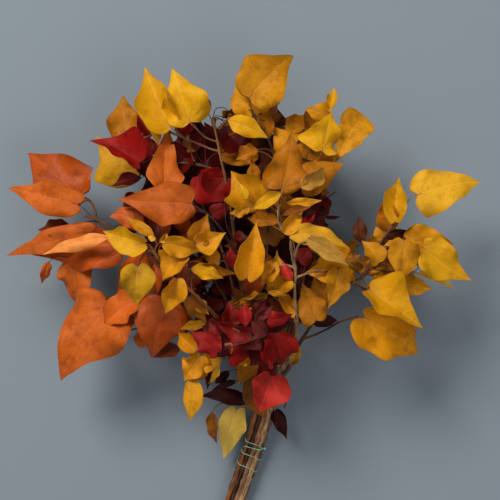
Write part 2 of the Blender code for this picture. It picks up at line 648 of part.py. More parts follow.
def crosses_itself(piece):
    """Whether two triangles of the piece that share no corner meet."""
    points, faces = piece
    tree = BVHTree.FromPolygons(points, faces)
    return any(not set(faces[i]) & set(faces[j]) for i, j in tree.overlap(tree) if i < j)


def try_leaf(branch, leaf, placed, strict):
    """Give the branch this leaf if blade and stalk are clear, and say whether it was given."""
    blade = leaf.blade(CLEARANCE)
    if not leaf.flat and min(point.z for point in blade[0]) < LOWEST_LEAF:
        return False
    if placed.touches(blade, lambda owner, kind: owner != branch.name or (strict and kind != "wood")):
        return False
    for root, lead in branch.roots(leaf):
        line = leaf.stalk_line(root, lead)
        thick = tube(line, [STALK_RADIUS + CLEARANCE] * len(line), STALK_SIDES)
        if not leaf.flat and min(point.z for point in thick[0]) < 0:
            continue
        if placed.touches(thick, lambda owner, kind: owner != branch.name or (strict and kind == "blade")):
            continue
        solid = leaf.solid(root, lead)
        if crosses_itself(solid):
            continue
        branch.pieces.append(solid)
        placed.add(branch.name, "blade", leaf.blade())
        placed.add(branch.name, "stalk", tube(line, [STALK_RADIUS] * len(line), STALK_SIDES))
        branch.blades.append(leaf)
        return True
    return False


def hang_traced_leaves(branches, placed):
    """Hang the leaves of the lists, the highest first, each at the first depth that is clear."""
    order = [(name, i) for name in branches for i in range(len(BRANCHES[name]["leaves"]))]
    order.sort(key=lambda item: -(BRANCHES[item[0]]["leaves"][item[1]][5] or 1000))
    for name, i in order:
        tries = [(depth, strict) for strict in (True, False) for depth in DEPTH_STEPS]
        any(try_leaf(branches[name], traced_leaf(name, i, depth), placed, strict) for depth, strict in tries)


def behind_or_inside(leaf, front):
    """Whether the leaf covers none of the leaves in front and shows only inside the head."""
    eye = Vector((0, 0, EYE_HEIGHT + EYE_LEVEL))
    for t, x in ((0, 0), (1, 0), (0.3, -0.9), (0.3, 0.9), (0.6, 0), (0.6, -0.5), (0.6, 0.5)):
        point = leaf.surface(t, x)
        ray = (point - eye).normalized()
        if front.ray_cast(point, ray)[0] is not None:
            return False
        hidden = front.ray_cast(eye, ray, (point - eye).length)[0] is not None
        spread = (EYE_HEIGHT + EYE_LEVEL - point.z) / EYE_HEIGHT
        across, down = point.x / spread + FRAME_MIDDLE, FRAME_MIDDLE - point.y / spread
        if not hidden and all(math.hypot(across - a, down - d) > r for a, d, r in HEAD):
            return False
    return True


def hang_fill_leaves(branches, placed):
    """Fill the inside and the back of the bunch with leaves that the front ones leave room for."""
    points, faces = [], []
    for branch in branches.values():
        for leaf in branch.blades:
            blade_points, blade_faces = leaf.blade()
            faces.extend(tuple(len(points) + k for k in face) for face in blade_faces)
            points.extend(blade_points)
    front = BVHTree.FromPolygons(points, faces)
    for index in range(FILL_TRIES):
        for branch in branches.values():
            wanted = BRANCHES[branch.name]["fill"]
            given = len(branch.blades) - len(BRANCHES[branch.name]["leaves"])
            if given >= wanted:
                continue
            leaf = fill_leaf(branch, index)
            if behind_or_inside(leaf, front):
                try_leaf(branch, leaf, placed, True)


def string_lines():
    """The string's two lines: its spaced turns round the tied stems, and the end that comes back."""
    lanes = [subdivide(bundle_lane(name), 8) for row in LANE_ROWS for name in row]
    middle = subdivide([place(*point) for point in BUNDLE], 8)
    offset = STEM_RADIUS + STRING_GAP + STRING_RADIUS
    start = place(FRAME_MIDDLE, STRING_START, 0).y

    def turn_point(angle, down):
        index = min(range(len(middle)), key=lambda k: abs(middle[k].y - down))
        ahead = (middle[index - 1] - middle[index + 1]).normalized()
        across = Vector((-ahead.y, ahead.x, 0)).normalized()
        upward = across.cross(ahead)
        if upward.z < 0:
            upward.negate()
        spoke = across * math.cos(angle) + upward * math.sin(angle)
        stems = [lane[index] for lane in lanes]
        outer = max(stems, key=lambda stem: (stem - middle[index]).dot(spoke))
        slide = ahead * ((middle[index].y - down) / -ahead.y)
        return outer + spoke * offset + slide

    winding = []
    for step in range(STRING_TURNS * STRING_STEPS + 1):
        turn = step / STRING_STEPS
        winding.append(turn_point(math.pi * (1.02 - 2 * turn), start - turn * STRING_PITCH))
    end = []
    for step in range(9):
        part = step / 8
        end.append(turn_point(math.pi * (0.14 + 0.70 * part), start - (5.6 + 3.4 * part)))
    return winding, end


def string_pieces():
    """The turns, the end that comes back over the front, and the knot where they meet."""
    winding, end = string_lines()
    pieces = [tube(line, [STRING_RADIUS] * len(line), STRING_SIDES) for line in (winding, end)]
    ball = bmesh.new()
    bmesh.ops.create_icosphere(ball, subdivisions=1, radius=KNOT_RADIUS)
    out = (end[0] - place(*BUNDLE[4])).normalized() * (KNOT_RADIUS - STRING_RADIUS)
    pieces.append(([vertex.co + end[0] + out for vertex in ball.verts],
                   [tuple(vertex.index for vertex in face.verts) for face in ball.faces]))
    ball.free()
    return pieces


def make_mesh(name, piece):
    """A mesh in metres from a piece in millimetres."""
    points, faces = piece
    mesh = bpy.data.meshes.new(name)
    mesh.from_pydata([point * MM for point in points], [], faces)
    return mesh


def clean(mesh):
    """Join the flat faces that a union splits and close up its slivers, as far as the body stays sound."""
    for shortest in SMALLEST_EDGES:
        shape = bmesh.new()
        shape.from_mesh(mesh)
        bmesh.ops.dissolve_limit(shape, angle_limit=FLAT_ENOUGH, verts=shape.verts, edges=shape.edges)
        bmesh.ops.triangulate(shape, faces=shape.faces)
        for edge in sorted(shape.edges, key=lambda edge: edge.calc_length()):
            if edge.is_valid and edge.calc_length() < shortest * MM:
                close_edge(shape, edge)
        sound = is_sound(shape)
        if sound:
            shape.to_mesh(mesh)
        shape.free()
        if sound:
            return


def is_sound(shape):
    """Whether the body is closed, has no edge too short to keep and crosses itself nowhere."""
    if any(len(edge.link_faces) != 2 or edge.calc_length() < LEAST_EDGE * MM for edge in shape.edges):
        return False
    shape.verts.index_update()
    points = [vertex.co / MM for vertex in shape.verts]
    return not crosses_itself((points, [tuple(corner.index for corner in face.verts) for face in shape.faces]))


def close_edge(shape, edge):
    """Draw the edge together to one of its ends where no face is lost or turned over by it."""
    ends = edge.verts
    rings = [{other.other_vert(end) for other in end.link_edges} for end in ends]
    if len(rings[0] & rings[1]) != 2:
        return
    for goes, stays in ((ends[0], ends[1]), (ends[1], ends[0])):
        if all(keeps_facing(face, goes, stays) for face in goes.link_faces if stays not in face.verts):
            bmesh.ops.weld_verts(shape, targetmap={goes: stays})
            return


def keeps_facing(face, goes, stays):
    """Whether the triangle faces much the same way once its corner has moved."""
    corners = [stays.co if corner is goes else corner.co for corner in face.verts]
    turned = (corners[1] - corners[0]).cross(corners[2] - corners[0])
    if turned.length < 1e-10:
        return False
    return turned.normalized().dot(face.normal) > 0.9


def fuse(name, pieces, color):
    """One object of this name from pieces that overlap, joined in one union."""
    body = bpy.data.objects.new(name, make_mesh(name, pieces[0]))
    bpy.context.collection.objects.link(body)
    rest = bpy.data.collections.new(name + "_pieces")
    bpy.context.scene.collection.children.link(rest)
    for i, piece in enumerate(pieces[1:]):
        rest.objects.link(bpy.data.objects.new(f"{name}_piece_{i}", make_mesh(name, piece)))
    union = body.modifiers.new("union", "BOOLEAN")
    union.operation = "UNION"
    union.operand_type = "COLLECTION"
    union.collection = rest
    union.solver = "MANIFOLD"
    graph = bpy.context.evaluated_depsgraph_get()
    joined = bpy.data.meshes.new_from_object(body.evaluated_get(graph))
    body.modifiers.clear()
    body.data = joined
    clean(joined)
    for item in list(rest.objects):
        bpy.data.objects.remove(item)
    bpy.data.collections.remove(rest)
    joined.materials.clear()
    joined.materials.append(material(name, color))
    return body


def material(name, color):
    """A plain finish of this colour."""
    finish = bpy.data.materials.new(name)
    finish.use_nodes = True
    shader = finish.node_tree.nodes["Principled BSDF"]
    shader.inputs["Base Color"].default_value = (*color, 1)
    shader.inputs["Roughness"].default_value = 0.55
    shader.inputs["Metallic"].default_value = 0.0
    return finish


def clear_scene():
    """Remove what the scene holds."""
    for item in list(bpy.data.objects):
        bpy.data.objects.remove(item)


def main():
    """Build the bunch, and stand its box on the origin."""
    clear_scene()
    placed = Clearance()
    branches = {name: Branch(name) for name in BRANCHES}
    for branch in branches.values():
        for piece in branch.pieces:
            placed.add(branch.name, "wood", piece)
    string = string_pieces()
    for piece in string:
        placed.add("tie_string", "wood", piece)
    hang_traced_leaves(branches, placed)
    hang_fill_leaves(branches, placed)
    bodies = [fuse(branch.name, branch.pieces, branch.color) for branch in branches.values()]
    bodies.append(fuse("tie_string", string, (0.55, 0.75, 0.60)))
    corners = [vertex.co for body in bodies for vertex in body.data.vertices]
    shift = Vector(((min(c.x for c in corners) + max(c.x for c in corners)) / 2,
                    (min(c.y for c in corners) + max(c.y for c in corners)) / 2, 0))
    for body in bodies:
        for vertex in body.data.vertices:
            vertex.co -= shift


main()
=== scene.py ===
"""Dresses the autumn leaf bunch: dried ivy branches with their leaves, stalks, bark and string.

A place is written (across, down, height) in millimetres, as in the frame's own source: across and down in a
frame of 500 mm by 500 mm that an eye high above its middle sees, and height above the surface. Each leaf is
looked up in the frame, so the fine leaf lies where the plain one is.
"""

from __future__ import annotations

import logging
import math
import random
from collections.abc import Callable, Iterator, Sequence
from dataclasses import dataclass, field
from enum import Enum
from functools import partial

import bpy
import numpy as np
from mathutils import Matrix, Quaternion, Vector
from mathutils.bvhtree import BVHTree
from mathutils.kdtree import KDTree


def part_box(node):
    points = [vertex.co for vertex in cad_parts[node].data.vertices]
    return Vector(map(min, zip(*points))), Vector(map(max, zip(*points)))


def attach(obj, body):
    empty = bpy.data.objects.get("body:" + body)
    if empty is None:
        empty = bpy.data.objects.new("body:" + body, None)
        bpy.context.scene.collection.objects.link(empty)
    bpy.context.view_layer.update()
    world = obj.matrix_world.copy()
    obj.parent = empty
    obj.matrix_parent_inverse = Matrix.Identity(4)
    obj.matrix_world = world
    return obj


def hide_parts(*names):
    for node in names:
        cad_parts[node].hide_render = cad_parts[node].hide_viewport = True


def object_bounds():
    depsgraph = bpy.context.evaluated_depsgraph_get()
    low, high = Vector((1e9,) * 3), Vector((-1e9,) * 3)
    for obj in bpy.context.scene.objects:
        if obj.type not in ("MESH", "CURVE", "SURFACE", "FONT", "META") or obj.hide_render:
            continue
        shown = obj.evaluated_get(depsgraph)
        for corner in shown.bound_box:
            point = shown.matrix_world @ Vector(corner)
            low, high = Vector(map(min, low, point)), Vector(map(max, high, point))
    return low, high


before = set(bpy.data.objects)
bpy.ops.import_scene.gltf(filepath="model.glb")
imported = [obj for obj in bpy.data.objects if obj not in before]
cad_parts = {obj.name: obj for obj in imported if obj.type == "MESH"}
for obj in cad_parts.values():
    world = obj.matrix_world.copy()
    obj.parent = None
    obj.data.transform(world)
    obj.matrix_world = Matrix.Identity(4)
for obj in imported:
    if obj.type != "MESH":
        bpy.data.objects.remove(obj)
CAD_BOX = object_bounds()
log = logging.getLogger("leaf bunch")

# The frame's own sizes in millimetres, and the eye that everything is placed for
MM = 0.001
FRAME_MIDDLE = 250.0
EYE_HEIGHT = 1600.0
EYE_LEVEL = 90.0
STEM_RADIUS = 2.1
STEM_TIP_RADIUS = 1.15
TWIG_RADIUS = 1.15
STALK_RADIUS = 0.8
LANE_PITCH = 4.6
ROW_PITCH = 4.0
BUTT_SPREAD = 5.0
STRING_RADIUS = 0.6
STRING_GAP = 0.45
STRING_START = 437.0
STRING_PITCH = 12.5
STRING_TURNS = 3
STRING_STEPS = 18
STALK_SIDES = 3
STALK_STEPS = 4
STRAIGHT_ENOUGH = 0.7
DEPTH_STEPS = (0, -5, -10, -15, -20, -26, -32, 5, -40, -50, 10, -60)
STALK_SLANTS = (0.6, 1.2, 0.2, 2.0)
SHORTEST_STALK = 2.5
STALK_APPROACH = 5.0
FILL_TRIES = 60
FILL_SPREAD = (14, 30)
FILL_LENGTH = (26, 46)

# How a leaf lies: its tilt and fold in degrees, and its arch, sway and ripple as parts of its length or width
TILT = 28
FOLD = (8, 22)
ARCH = (0.02, 0.11)
SWAY = 0.05
RIPPLE = (0.03, 0.08)
TIP_DROP = (-0.05, 0.45)
SMALL_DROP = 4

# How lines are cut into steps, and what the pieces need
FRAME_STEPS = 4
FINE_STEPS = 12
WALK_PITCH = 4
TWIG_REACH = (0.07, 0.93)
STRING_SIDES = 6
LOWEST_POINT = 0.05
SHARP_ANGLE = math.radians(55)
EYE = Vector((0, 0, EYE_HEIGHT + EYE_LEVEL))

# The inputs of a Mix node between its factor and its two colours, and its output for a colour
MIX_GAP = (None,) * 5
MIX_RESULT = 2

# The last number of a wood tone says how streaked the wood is: hardly at all on stalks
SMOOTH_WOOD = np.array([1.0, 1.0, 1.0, 0.15])

# How close a corner of the frame lies to where it is looked for, and how many corners have to be found
FOUND_WITHIN = 0.06
ENOUGH_FOUND = 0.5

# The middle line of the tied stems, where they part, and how they lie side by side
BUNDLE = ((218, 555, 8.2), (230, 515, 8.3), (242, 480, 10.5), (249, 460, 13), (256, 440, 17),
          (262, 417, 24), (266, 395, 33))
FAN = ((267, 378, 43, 1.9), (268, 362, 54, 3.0))
LANE_ROWS = (
    ("gold_stem_4", "orange_stem_3", "red_stem_2", "gold_stem_6"),
    ("gold_stem_5", "gold_stem_1", "gold_stem_2", "red_stem_3"),
    ("orange_stem_1", "red_stem_1", "red_stem_4", "gold_stem_3"),
    ("orange_stem_2", "red_stem_6", "red_stem_5", "gold_stem_7"),
)

# Outlines of half a blade: (along, across), as parts of its length and of half its width
HEART = ((-0.07, 0.42), (0.18, 1.0), (0.48, 0.86), (0.76, 0.40))
LOBED = ((-0.05, 0.44), (0.14, 0.92), (0.38, 1.0), (0.62, 0.68), (0.84, 0.26))
NARROW = ((0.18, 0.74), (0.50, 1.0), (0.80, 0.46))
PLAIN = ((-0.06, 0.42), (0.22, 1.0), (0.62, 0.62))
SMALL = ((0.25, 0.9), (0.66, 0.75))
SMALL_LENGTH = 21.0
LOBED_LENGTH = 42.0

# The same outlines with the rounder shoulders, the shorter tip and the lobes of the real leaf
FINE_OUTLINES = {
    HEART: ((-0.08, 0.30), (-0.02, 0.68), (0.13, 0.97), (0.32, 1.02), (0.52, 0.84), (0.68, 0.52),
            (0.81, 0.27), (0.92, 0.10)),
    LOBED: ((-0.07, 0.34), (0.00, 0.74), (0.15, 1.00), (0.34, 1.06), (0.49, 0.88), (0.62, 0.58),
            (0.76, 0.34), (0.90, 0.13)),
    NARROW: ((0.07, 0.46), (0.25, 0.94), (0.48, 1.04), (0.66, 0.78), (0.82, 0.38), (0.92, 0.16)),
    PLAIN: ((-0.06, 0.34), (0.03, 0.74), (0.24, 1.0), (0.46, 0.88), (0.66, 0.52), (0.82, 0.24), (0.92, 0.10)),
    SMALL: ((0.05, 0.50), (0.25, 0.95), (0.50, 0.92), (0.75, 0.54)),
}

# The outline of blades that are broader than long, and two outlines of single leaves
BROAD_OUTLINE = ((-0.11, 0.26), (-0.13, 0.62), (-0.02, 0.96), (0.20, 1.08), (0.42, 1.0), (0.62, 0.74),
                 (0.80, 0.40), (0.92, 0.15))
TAPERED_OUTLINE = ((-0.07, 0.40), (0.00, 0.80), (0.13, 1.02), (0.30, 0.92), (0.48, 0.68), (0.64, 0.46),
                   (0.79, 0.26), (0.92, 0.10))
FAN_OUTLINE = ((0.06, 0.16), (0.25, 0.46), (0.50, 0.80), (0.72, 1.04), (0.88, 0.98), (0.97, 0.50))

Place = tuple[float, float, float]
Outline = tuple[tuple[float, float], ...]


@dataclass(frozen=True)
class LeafLook:
    """How a leaf of one tone looks.

    face: the colour of its upper side
    shade: the colour of its blotches and rim, and of its heel, whose darkening is partly painted shade
    stalk: the colour of its stalk and midrib
    gloss: how shiny it is, from 0 to 1
    """

    face: str
    shade: str
    stalk: str
    gloss: float


class Tone(Enum):
    """The tones that the preserved leaves were dyed or dried to."""

    BRIGHT = LeafLook("#D89E0C", "#B0720A", "#A06A10", 0.35)
    LEMON = LeafLook("#DEA420", "#B87E12", "#986C18", 0.30)
    # HONEY is partly painted light: a paler gold, so that a leaf low in the bunch's shade looks lit
    HONEY = LeafLook("#F4C654", "#DCA638", "#A87C28", 0.20)
    GOLD = LeafLook("#D28C0C", "#8E5206", "#8E5A10", 0.40)
    DULL = LeafLook("#B66E0C", "#6C3A06", "#7A4A0C", 0.40)
    OLIVE = LeafLook("#C48E14", "#784E08", "#7C5810", 0.35)
    TAN = LeafLook("#C69038", "#8C6222", "#805820", 0.15)
    BROWN_GOLD = LeafLook("#8C500C", "#4C2604", "#5C360A", 0.45)
    NUT = LeafLook("#5A2608", "#2C0F03", "#40200A", 0.45)
    ORANGE = LeafLook("#C86014", "#8C380A", "#78320C", 0.20)
    APRICOT = LeafLook("#EC9244", "#C46424", "#98501C", 0.15)
    RUST = LeafLook("#BC500A", "#702804", "#5C280A", 0.95)
    EMBER = LeafLook("#782E08", "#3C1202", "#401808", 0.60)
    SCARLET = LeafLook("#961410", "#5A0806", "#5C140E", 0.40)
    CRIMSON = LeafLook("#7A100C", "#400605", "#52100A", 0.40)
    ROSE = LeafLook("#B42E24", "#861A14", "#6E1C16", 0.30)
    MAUVE = LeafLook("#64201C", "#380E0C", "#40160E", 0.25)
    WINE = LeafLook("#560C08", "#2C0403", "#380C08", 0.35)
    BURGUNDY = LeafLook("#380805", "#180302", "#2A0A06", 0.35)


# The tones by name alone, for the lists
(BRIGHT, LEMON, HONEY, GOLD, DULL, OLIVE, TAN, BROWN_GOLD, NUT, ORANGE, APRICOT, RUST, EMBER, SCARLET,
 CRIMSON, ROSE, MAUVE, WINE, BURGUNDY) = Tone

TracedLeaf = tuple[float, float, float, float, float, float, Outline, Tone]


@dataclass(frozen=True)
class BranchPlan:
    """One branch past the tied stems.

    route: the places that its stem passes through
    twigs: the places that each of its twigs passes through
    leaves: base across, base down, tip across, tip down, width, height, outline and tone of each leaf
    fill_tone: the tone of the leaves that fill the inside and the back
    small_leaves: the same facts of leaves that are too small for the frame
    fan: how many places of the fan its stem keeps to
    """

    route: tuple[Place, ...]
    twigs: tuple[tuple[Place, ...], ...]
    fill_tone: Tone
    leaves: tuple[TracedLeaf, ...] = ()
    small_leaves: tuple[TracedLeaf, ...] = ()
    fan: int = len(FAN)


BRANCHES = {
    "gold_stem_1": BranchPlan(
        route=((256, 335, 80), (240, 280, 95), (232, 220, 105), (225, 175, 115), (220, 155, 118),
               (216, 135, 120), (213.5, 117, 122)),
        twigs=(
            ((219, 152, 118), (203, 146, 120), (185, 138, 122), (174, 129, 124)),
            ((217, 143, 119), (205, 137, 124), (197, 129, 128), (191, 123, 131)),
            ((225, 172, 115), (200, 165, 108), (165, 163, 96), (143, 166, 92)),
            ((188, 140, 121), (165, 132, 116), (140, 139, 112))),
        leaves=(
            (171, 127, 144, 66.5, 36, 124, LOBED, BRIGHT), (190, 121.5, 171.5, 68, 46, 132, LOBED, BRIGHT),
            (128, 140, 123, 92.5, 32, 112, HEART, DULL), (139, 170, 94, 137, 46, 92, LOBED, OLIVE),
            (155, 116, 156.5, 146, 12, 118, NARROW, GOLD)),
        fill_tone=DULL),
    "gold_stem_2": BranchPlan(
        route=((275, 330, 88), (268, 280, 100), (268, 230, 105), (272, 190, 112), (280, 160, 115),
               (300, 140, 118)),
        twigs=(
            ((278, 165, 114), (268, 140, 118), (256, 120, 121), (250, 104, 124)),
            ((300, 140, 118), (314, 131, 120), (327, 121, 123)),
            ((288, 153, 117), (305, 160, 120), (322, 162, 121)),
            ((268, 215, 107), (262, 200, 122), (260, 188, 130)),
            ((272, 190, 112), (286, 188, 124), (298, 190, 132))),
        leaves=(
            (250, 97, 294, 54.5, 58, 130, LOBED, GOLD), (258, 113, 236, 79, 36, 122, LOBED, GOLD),
            (228, 120, 268, 138, 18, 128, NARROW, BRIGHT), (262, 135, 270, 109, 24, 112, HEART, DULL),
            (222, 152, 267, 140, 22, 118, HEART, DULL), (258, 150, 236, 160, 12, 122, NARROW, DULL),
            (262, 172, 270, 141, 16, 100, HEART, NUT), (300, 160, 272, 126, 34, 118, HEART, GOLD),
            (281, 188, 291, 132, 36, 140, HEART, DULL), (257, 206, 231, 171, 34, 138, LOBED, GOLD),
            (256, 200, 252, 158, 16, 132, NARROW, DULL), (264, 197, 274, 172, 12, 128, NARROW, DULL),
            (304, 128, 286, 118, 20, 110, HEART, GOLD), (327, 117, 304.5, 109, 18, 122, HEART, GOLD),
            (329, 112, 334, 87, 9, 126, NARROW, BRIGHT), (322, 150, 331, 111, 34, 128, LOBED, BRIGHT),
            (336, 161, 363, 115, 36, 118, LOBED, GOLD), (325, 168, 331, 150, 12, 116, NARROW, DULL),
            (300, 187, 328, 168, 16, 142, NARROW, TAN), (302, 184, 345, 164, 26, 138, HEART, DULL),
            (287, 203, 322, 200, 9, 142, NARROW, GOLD), (318, 170, 308, 151, 10, 116, NARROW, DULL)),
        fill_tone=BROWN_GOLD),
    "gold_stem_3": BranchPlan(
        route=((297, 347, 64), (320, 314, 88), (339, 293, 95), (352, 283, 100), (362, 277, 103),
               (381, 262, 108)),
        twigs=(
            ((362, 277, 103), (375, 255, 112), (382, 241, 115), (392, 227, 118), (405, 204, 118)),
            ((381, 262, 108), (395, 250, 120), (404, 242, 122), (420, 250, 118)),
            ((300, 343, 75), (325, 330, 84), (340, 322.5, 92), (358, 316, 100)),
            ((352, 283, 100), (366, 290, 92), (376, 298, 60), (384, 306, 24), (389, 313, 4)),
            ((372, 269, 106), (388, 272, 112), (404, 273, 113))),
        leaves=(
            (395, 221, 399, 176, 22, 124, HEART, BRIGHT), (388, 228, 386, 193, 20, 114, HEART, DULL),
            (418, 194.5, 484, 180, 44, 118, HEART, LEMON), (408, 241, 455, 243, 34, 118, HEART, GOLD),
            (424, 248, 471, 280, 38, 126, LOBED, BRIGHT), (417, 273, 457.5, 289, 10, 112, NARROW, HONEY),
            (404, 241, 401, 284, 30, 134, HEART, GOLD), (379, 262, 362, 240, 21, 130, HEART, GOLD),
            (388, 256, 400, 241, 6, 128, NARROW, BRIGHT), (395, 242, 384, 246, 6, 124, NARROW, GOLD),
            (362, 243, 360, 216, 14, 104, NARROW, NUT), (382, 240, 376, 226, 14, 108, NARROW, GOLD),
            (386, 238, 413, 232, 12, 104, NARROW, NUT), (408, 243, 422, 262, 14, 112, NARROW, GOLD),
            (378, 268, 350, 262, 20, 104, HEART, DULL), (385, 262, 360, 272, 18, 108, HEART, GOLD),
            (392, 275, 367, 288, 14, 110, NARROW, GOLD), (370, 290, 424.5, 327, 45, 122, LOBED, BRIGHT),
            (400, 283, 433, 290, 20, 112, HEART, GOLD), (366, 318, 418.5, 354, 50, 104, LOBED, GOLD),
            (391, 314, 396, 345, 26, 0, HEART, DULL)),
        fill_tone=DULL),
    "gold_stem_4": BranchPlan(
        route=((228, 335, 110), (212, 312, 135), (193, 293, 145), (180, 280, 150), (165, 268, 152),
               (158, 257, 156), (151, 247, 158)),
        twigs=(
            ((192, 292, 146), (190, 270, 150), (186, 250, 152)),
            ((158, 257, 156), (150, 251, 160), (141, 259, 163), (138, 266, 166))),
        leaves=(
            (144.5, 243, 103.5, 231, 25, 165, HEART, BRIGHT),
            (137.5, 267, 137.5, 306, 31, 168, HEART, OLIVE), (177, 280, 165.5, 315, 19, 166, HEART, GOLD),
            (154, 236, 126, 216, 11, 165, NARROW, GOLD), (155, 240, 148, 236, 6, 166, NARROW, LEMON),
            (160, 242, 168, 233.5, 7, 164, NARROW, LEMON), (166, 243, 203, 251.5, 20, 168, HEART, GOLD),
            (195, 242, 208, 214, 20, 158, HEART, DULL), (197, 243, 226, 232, 22, 162, LOBED, GOLD),
            (185, 256, 161, 281, 23, 160, HEART, GOLD), (192, 264, 237, 273.5, 14, 158, HEART, DULL),
            (191, 269, 224, 278, 14, 162, NARROW, BRIGHT), (252, 395, 266, 420, 20, 62, HEART, BROWN_GOLD),
            (252, 378, 246, 404, 14, 74, NARROW, BROWN_GOLD)),
        fill_tone=GOLD),
    "gold_stem_5": BranchPlan(
        route=((232, 352, 85), (215, 348, 100), (198, 350, 108)),
        twigs=(
            ((234, 356, 80), (228, 345, 98), (222, 330, 107), (218, 316, 112)),
            ((222, 330, 107), (240, 312, 130), (256, 300, 142)),
            ((218, 316, 112), (206, 306, 114), (197, 301, 118))),
        leaves=(
            (268, 294, 234, 303, 8, 146, NARROW, GOLD), (264, 297, 235, 308, 9, 150, NARROW, DULL),
            (196, 350, 177, 331, 14, 128, HEART, GOLD), (200, 356, 184, 381, 18, 122, HEART, GOLD),
            (222, 360, 197, 359, 10, 118, NARROW, GOLD), (193, 377, 189.5, 421, 17, 118, NARROW, GOLD),
            (206, 371, 197, 381, 8, 112, NARROW, DULL), (214, 363, 201, 369, 7, 110, NARROW, NUT),
            (219, 364, 209, 386, 6, 112, NARROW, LEMON), (211, 368, 207.5, 389.5, 6, 108, NARROW, WINE),
            (243, 350, 230, 362, 14, 130, HEART, GOLD), (252, 362, 238, 385, 22, 118, HEART, DULL),
            (236, 410, 223.5, 460, 25, 60, HEART, HONEY), (212, 412, 216, 444, 12, 50, NARROW, BROWN_GOLD),
            (195, 298, 209, 314.5, 12, 140, NARROW, BRIGHT),
            (190, 297, 207, 323, 18, 132, HEART, BROWN_GOLD), (206, 323, 180, 329, 10, 130, NARROW, GOLD)),
        fill_tone=GOLD),
    "gold_stem_6": BranchPlan(
        route=((294, 346, 100), (296, 330, 120), (297, 316, 135), (295, 300, 142), (294, 286, 148),
               (295, 268, 150), (292, 250, 152), (291, 235, 152)),
        twigs=(
            ((291, 235, 152), (283, 232, 150), (278, 215, 150), (280, 200, 148), (282, 190, 145)),
            ((295, 268, 150), (285, 265, 154), (274, 270, 158)),
            ((296, 278, 149), (312, 272, 146), (328, 272, 142)),
            ((293, 258, 151), (296, 250, 160), (301, 243, 168), (311, 239, 173))),
        leaves=(
            (247, 199, 239, 183, 8, 150, NARROW, BRIGHT), (250, 207, 229, 214, 9, 150, NARROW, GOLD),
            (281, 193, 251, 210, 12, 152, NARROW, BRIGHT), (279, 222, 246, 217, 14, 148, NARROW, DULL),
            (247, 277, 256.5, 221, 28, 160, HEART, GOLD), (273, 263, 261, 286.5, 16, 164, HEART, GOLD),
            (272, 292, 280, 250, 22, 166, HEART, GOLD), (268, 292, 287, 296, 6, 160, NARROW, GOLD),
            (284, 231, 304, 211.5, 14, 162, HEART, GOLD), (283, 215, 311, 207, 7, 158, NARROW, BROWN_GOLD),
            (295, 233, 351, 249, 20, 170, HEART, LEMON), (311, 239, 349, 267, 17, 176, HEART, TAN),
            (345, 278, 304.5, 272.5, 26, 140, HEART, GOLD), (338, 270, 328, 309, 22, 136, HEART, GOLD),
            (316, 320, 302, 283, 32, 140, HEART, DULL), (294, 318, 275, 289, 9, 144, NARROW, GOLD),
            (299, 346, 289, 367, 12, 85, NARROW, TAN)),
        fill_tone=GOLD),
    "gold_stem_7": BranchPlan(
        route=((292, 330, 44), (292, 270, 50), (300, 200, 50), (310, 160, 44)),
        twigs=(
            ((297, 225, 50), (318, 205, 40), (335, 192, 28)),
            ((290, 270, 50), (312, 262, 38), (330, 262, 26))),
        fill_tone=DULL),
    "orange_stem_1": BranchPlan(
        route=((222, 340, 66), (180, 290, 88), (140, 245, 95), (117, 230, 97), (95, 219, 98),
               (85, 216, 99)),
        twigs=(
            ((95, 219, 98), (95, 212, 98), (93, 205, 97), (88, 199, 94), (82, 196.5, 90)),
            ((140, 245, 95), (118, 252, 90), (95, 258, 84), (76, 264, 82))),
        leaves=(
            (79, 195, 28, 153, 52, 88, LOBED, RUST), (77, 204, 5, 186.5, 32, 104, LOBED, ORANGE),
            (74, 207, 50, 209, 8, 80, NARROW, EMBER), (70, 226, 38, 230, 18, 78, NARROW, EMBER),
            (91, 232, 5, 256.5, 40, 106, LOBED, ORANGE), (110, 237, 43, 255, 13, 116, NARROW, APRICOT),
            (117, 247, 30, 255, 38, 100, LOBED, RUST), (49, 262, 42, 284, 11, 82, NARROW, ORANGE),
            (72, 266, 75, 306, 33, 80, HEART, ORANGE)),
        fill_tone=RUST),
    "orange_stem_2": BranchPlan(
        route=((228, 352, 50), (200, 343, 66), (170, 320, 82), (150, 305, 92), (120, 303, 95)),
        twigs=(
            ((172, 322, 84), (160, 322, 74), (146, 326, 44), (132, 330, 18), (122, 332, 4)),
            ((170, 320, 85), (168, 308, 100), (167, 301, 112)),
            ((150, 305, 92), (152, 285, 90), (150, 268, 90))),
        leaves=(
            (110, 307, 57.5, 381, 76, 98, LOBED, ORANGE), (134, 301, 100, 328, 28, 110, HEART, ORANGE),
            (166, 302, 151.5, 361, 50, 118, LOBED, RUST), (180, 349, 154, 358, 14, 92, NARROW, EMBER),
            (146, 334, 140, 349, 18, 86, HEART, ORANGE), (150, 262, 113, 306, 42, 88, HEART, RUST),
            (140, 285, 122, 296, 12, 90, NARROW, EMBER), (120, 332, 84, 345, 30, 0, HEART, RUST)),
        fill_tone=EMBER),
    "orange_stem_3": BranchPlan(
        route=((250, 335, 98), (240, 270, 115), (228, 238, 125), (215, 222, 130), (203, 211, 134),
               (192, 204, 136)),
        twigs=(
            ((203, 211, 134), (185, 208, 128), (165, 210, 120), (148, 205, 118)),
            ((185, 208, 128), (172, 198, 126), (166, 190, 125))),
        leaves=(
            (164, 187, 167, 128, 27, 124, HEART, ORANGE), (191, 203, 118.5, 198.5, 40, 140, LOBED, ORANGE),
            (142, 216, 109, 217, 26, 112, HEART, RUST), (192, 232, 171, 219, 12, 96, NARROW, RUST),
            (140, 196, 122, 206, 14, 118, NARROW, WINE)),
        fill_tone=EMBER),
    "red_stem_1": BranchPlan(
        route=((245, 335, 62), (225, 260, 80), (200, 200, 92), (170, 170, 100), (152, 160, 106)),
        twigs=(
            ((200, 200, 92), (205, 178, 100), (208, 160, 104)),
            ((207, 215, 90), (222, 200, 100), (226, 185, 104)),
            ((175, 175, 99), (160, 158, 112), (152, 148, 116))),
        leaves=(
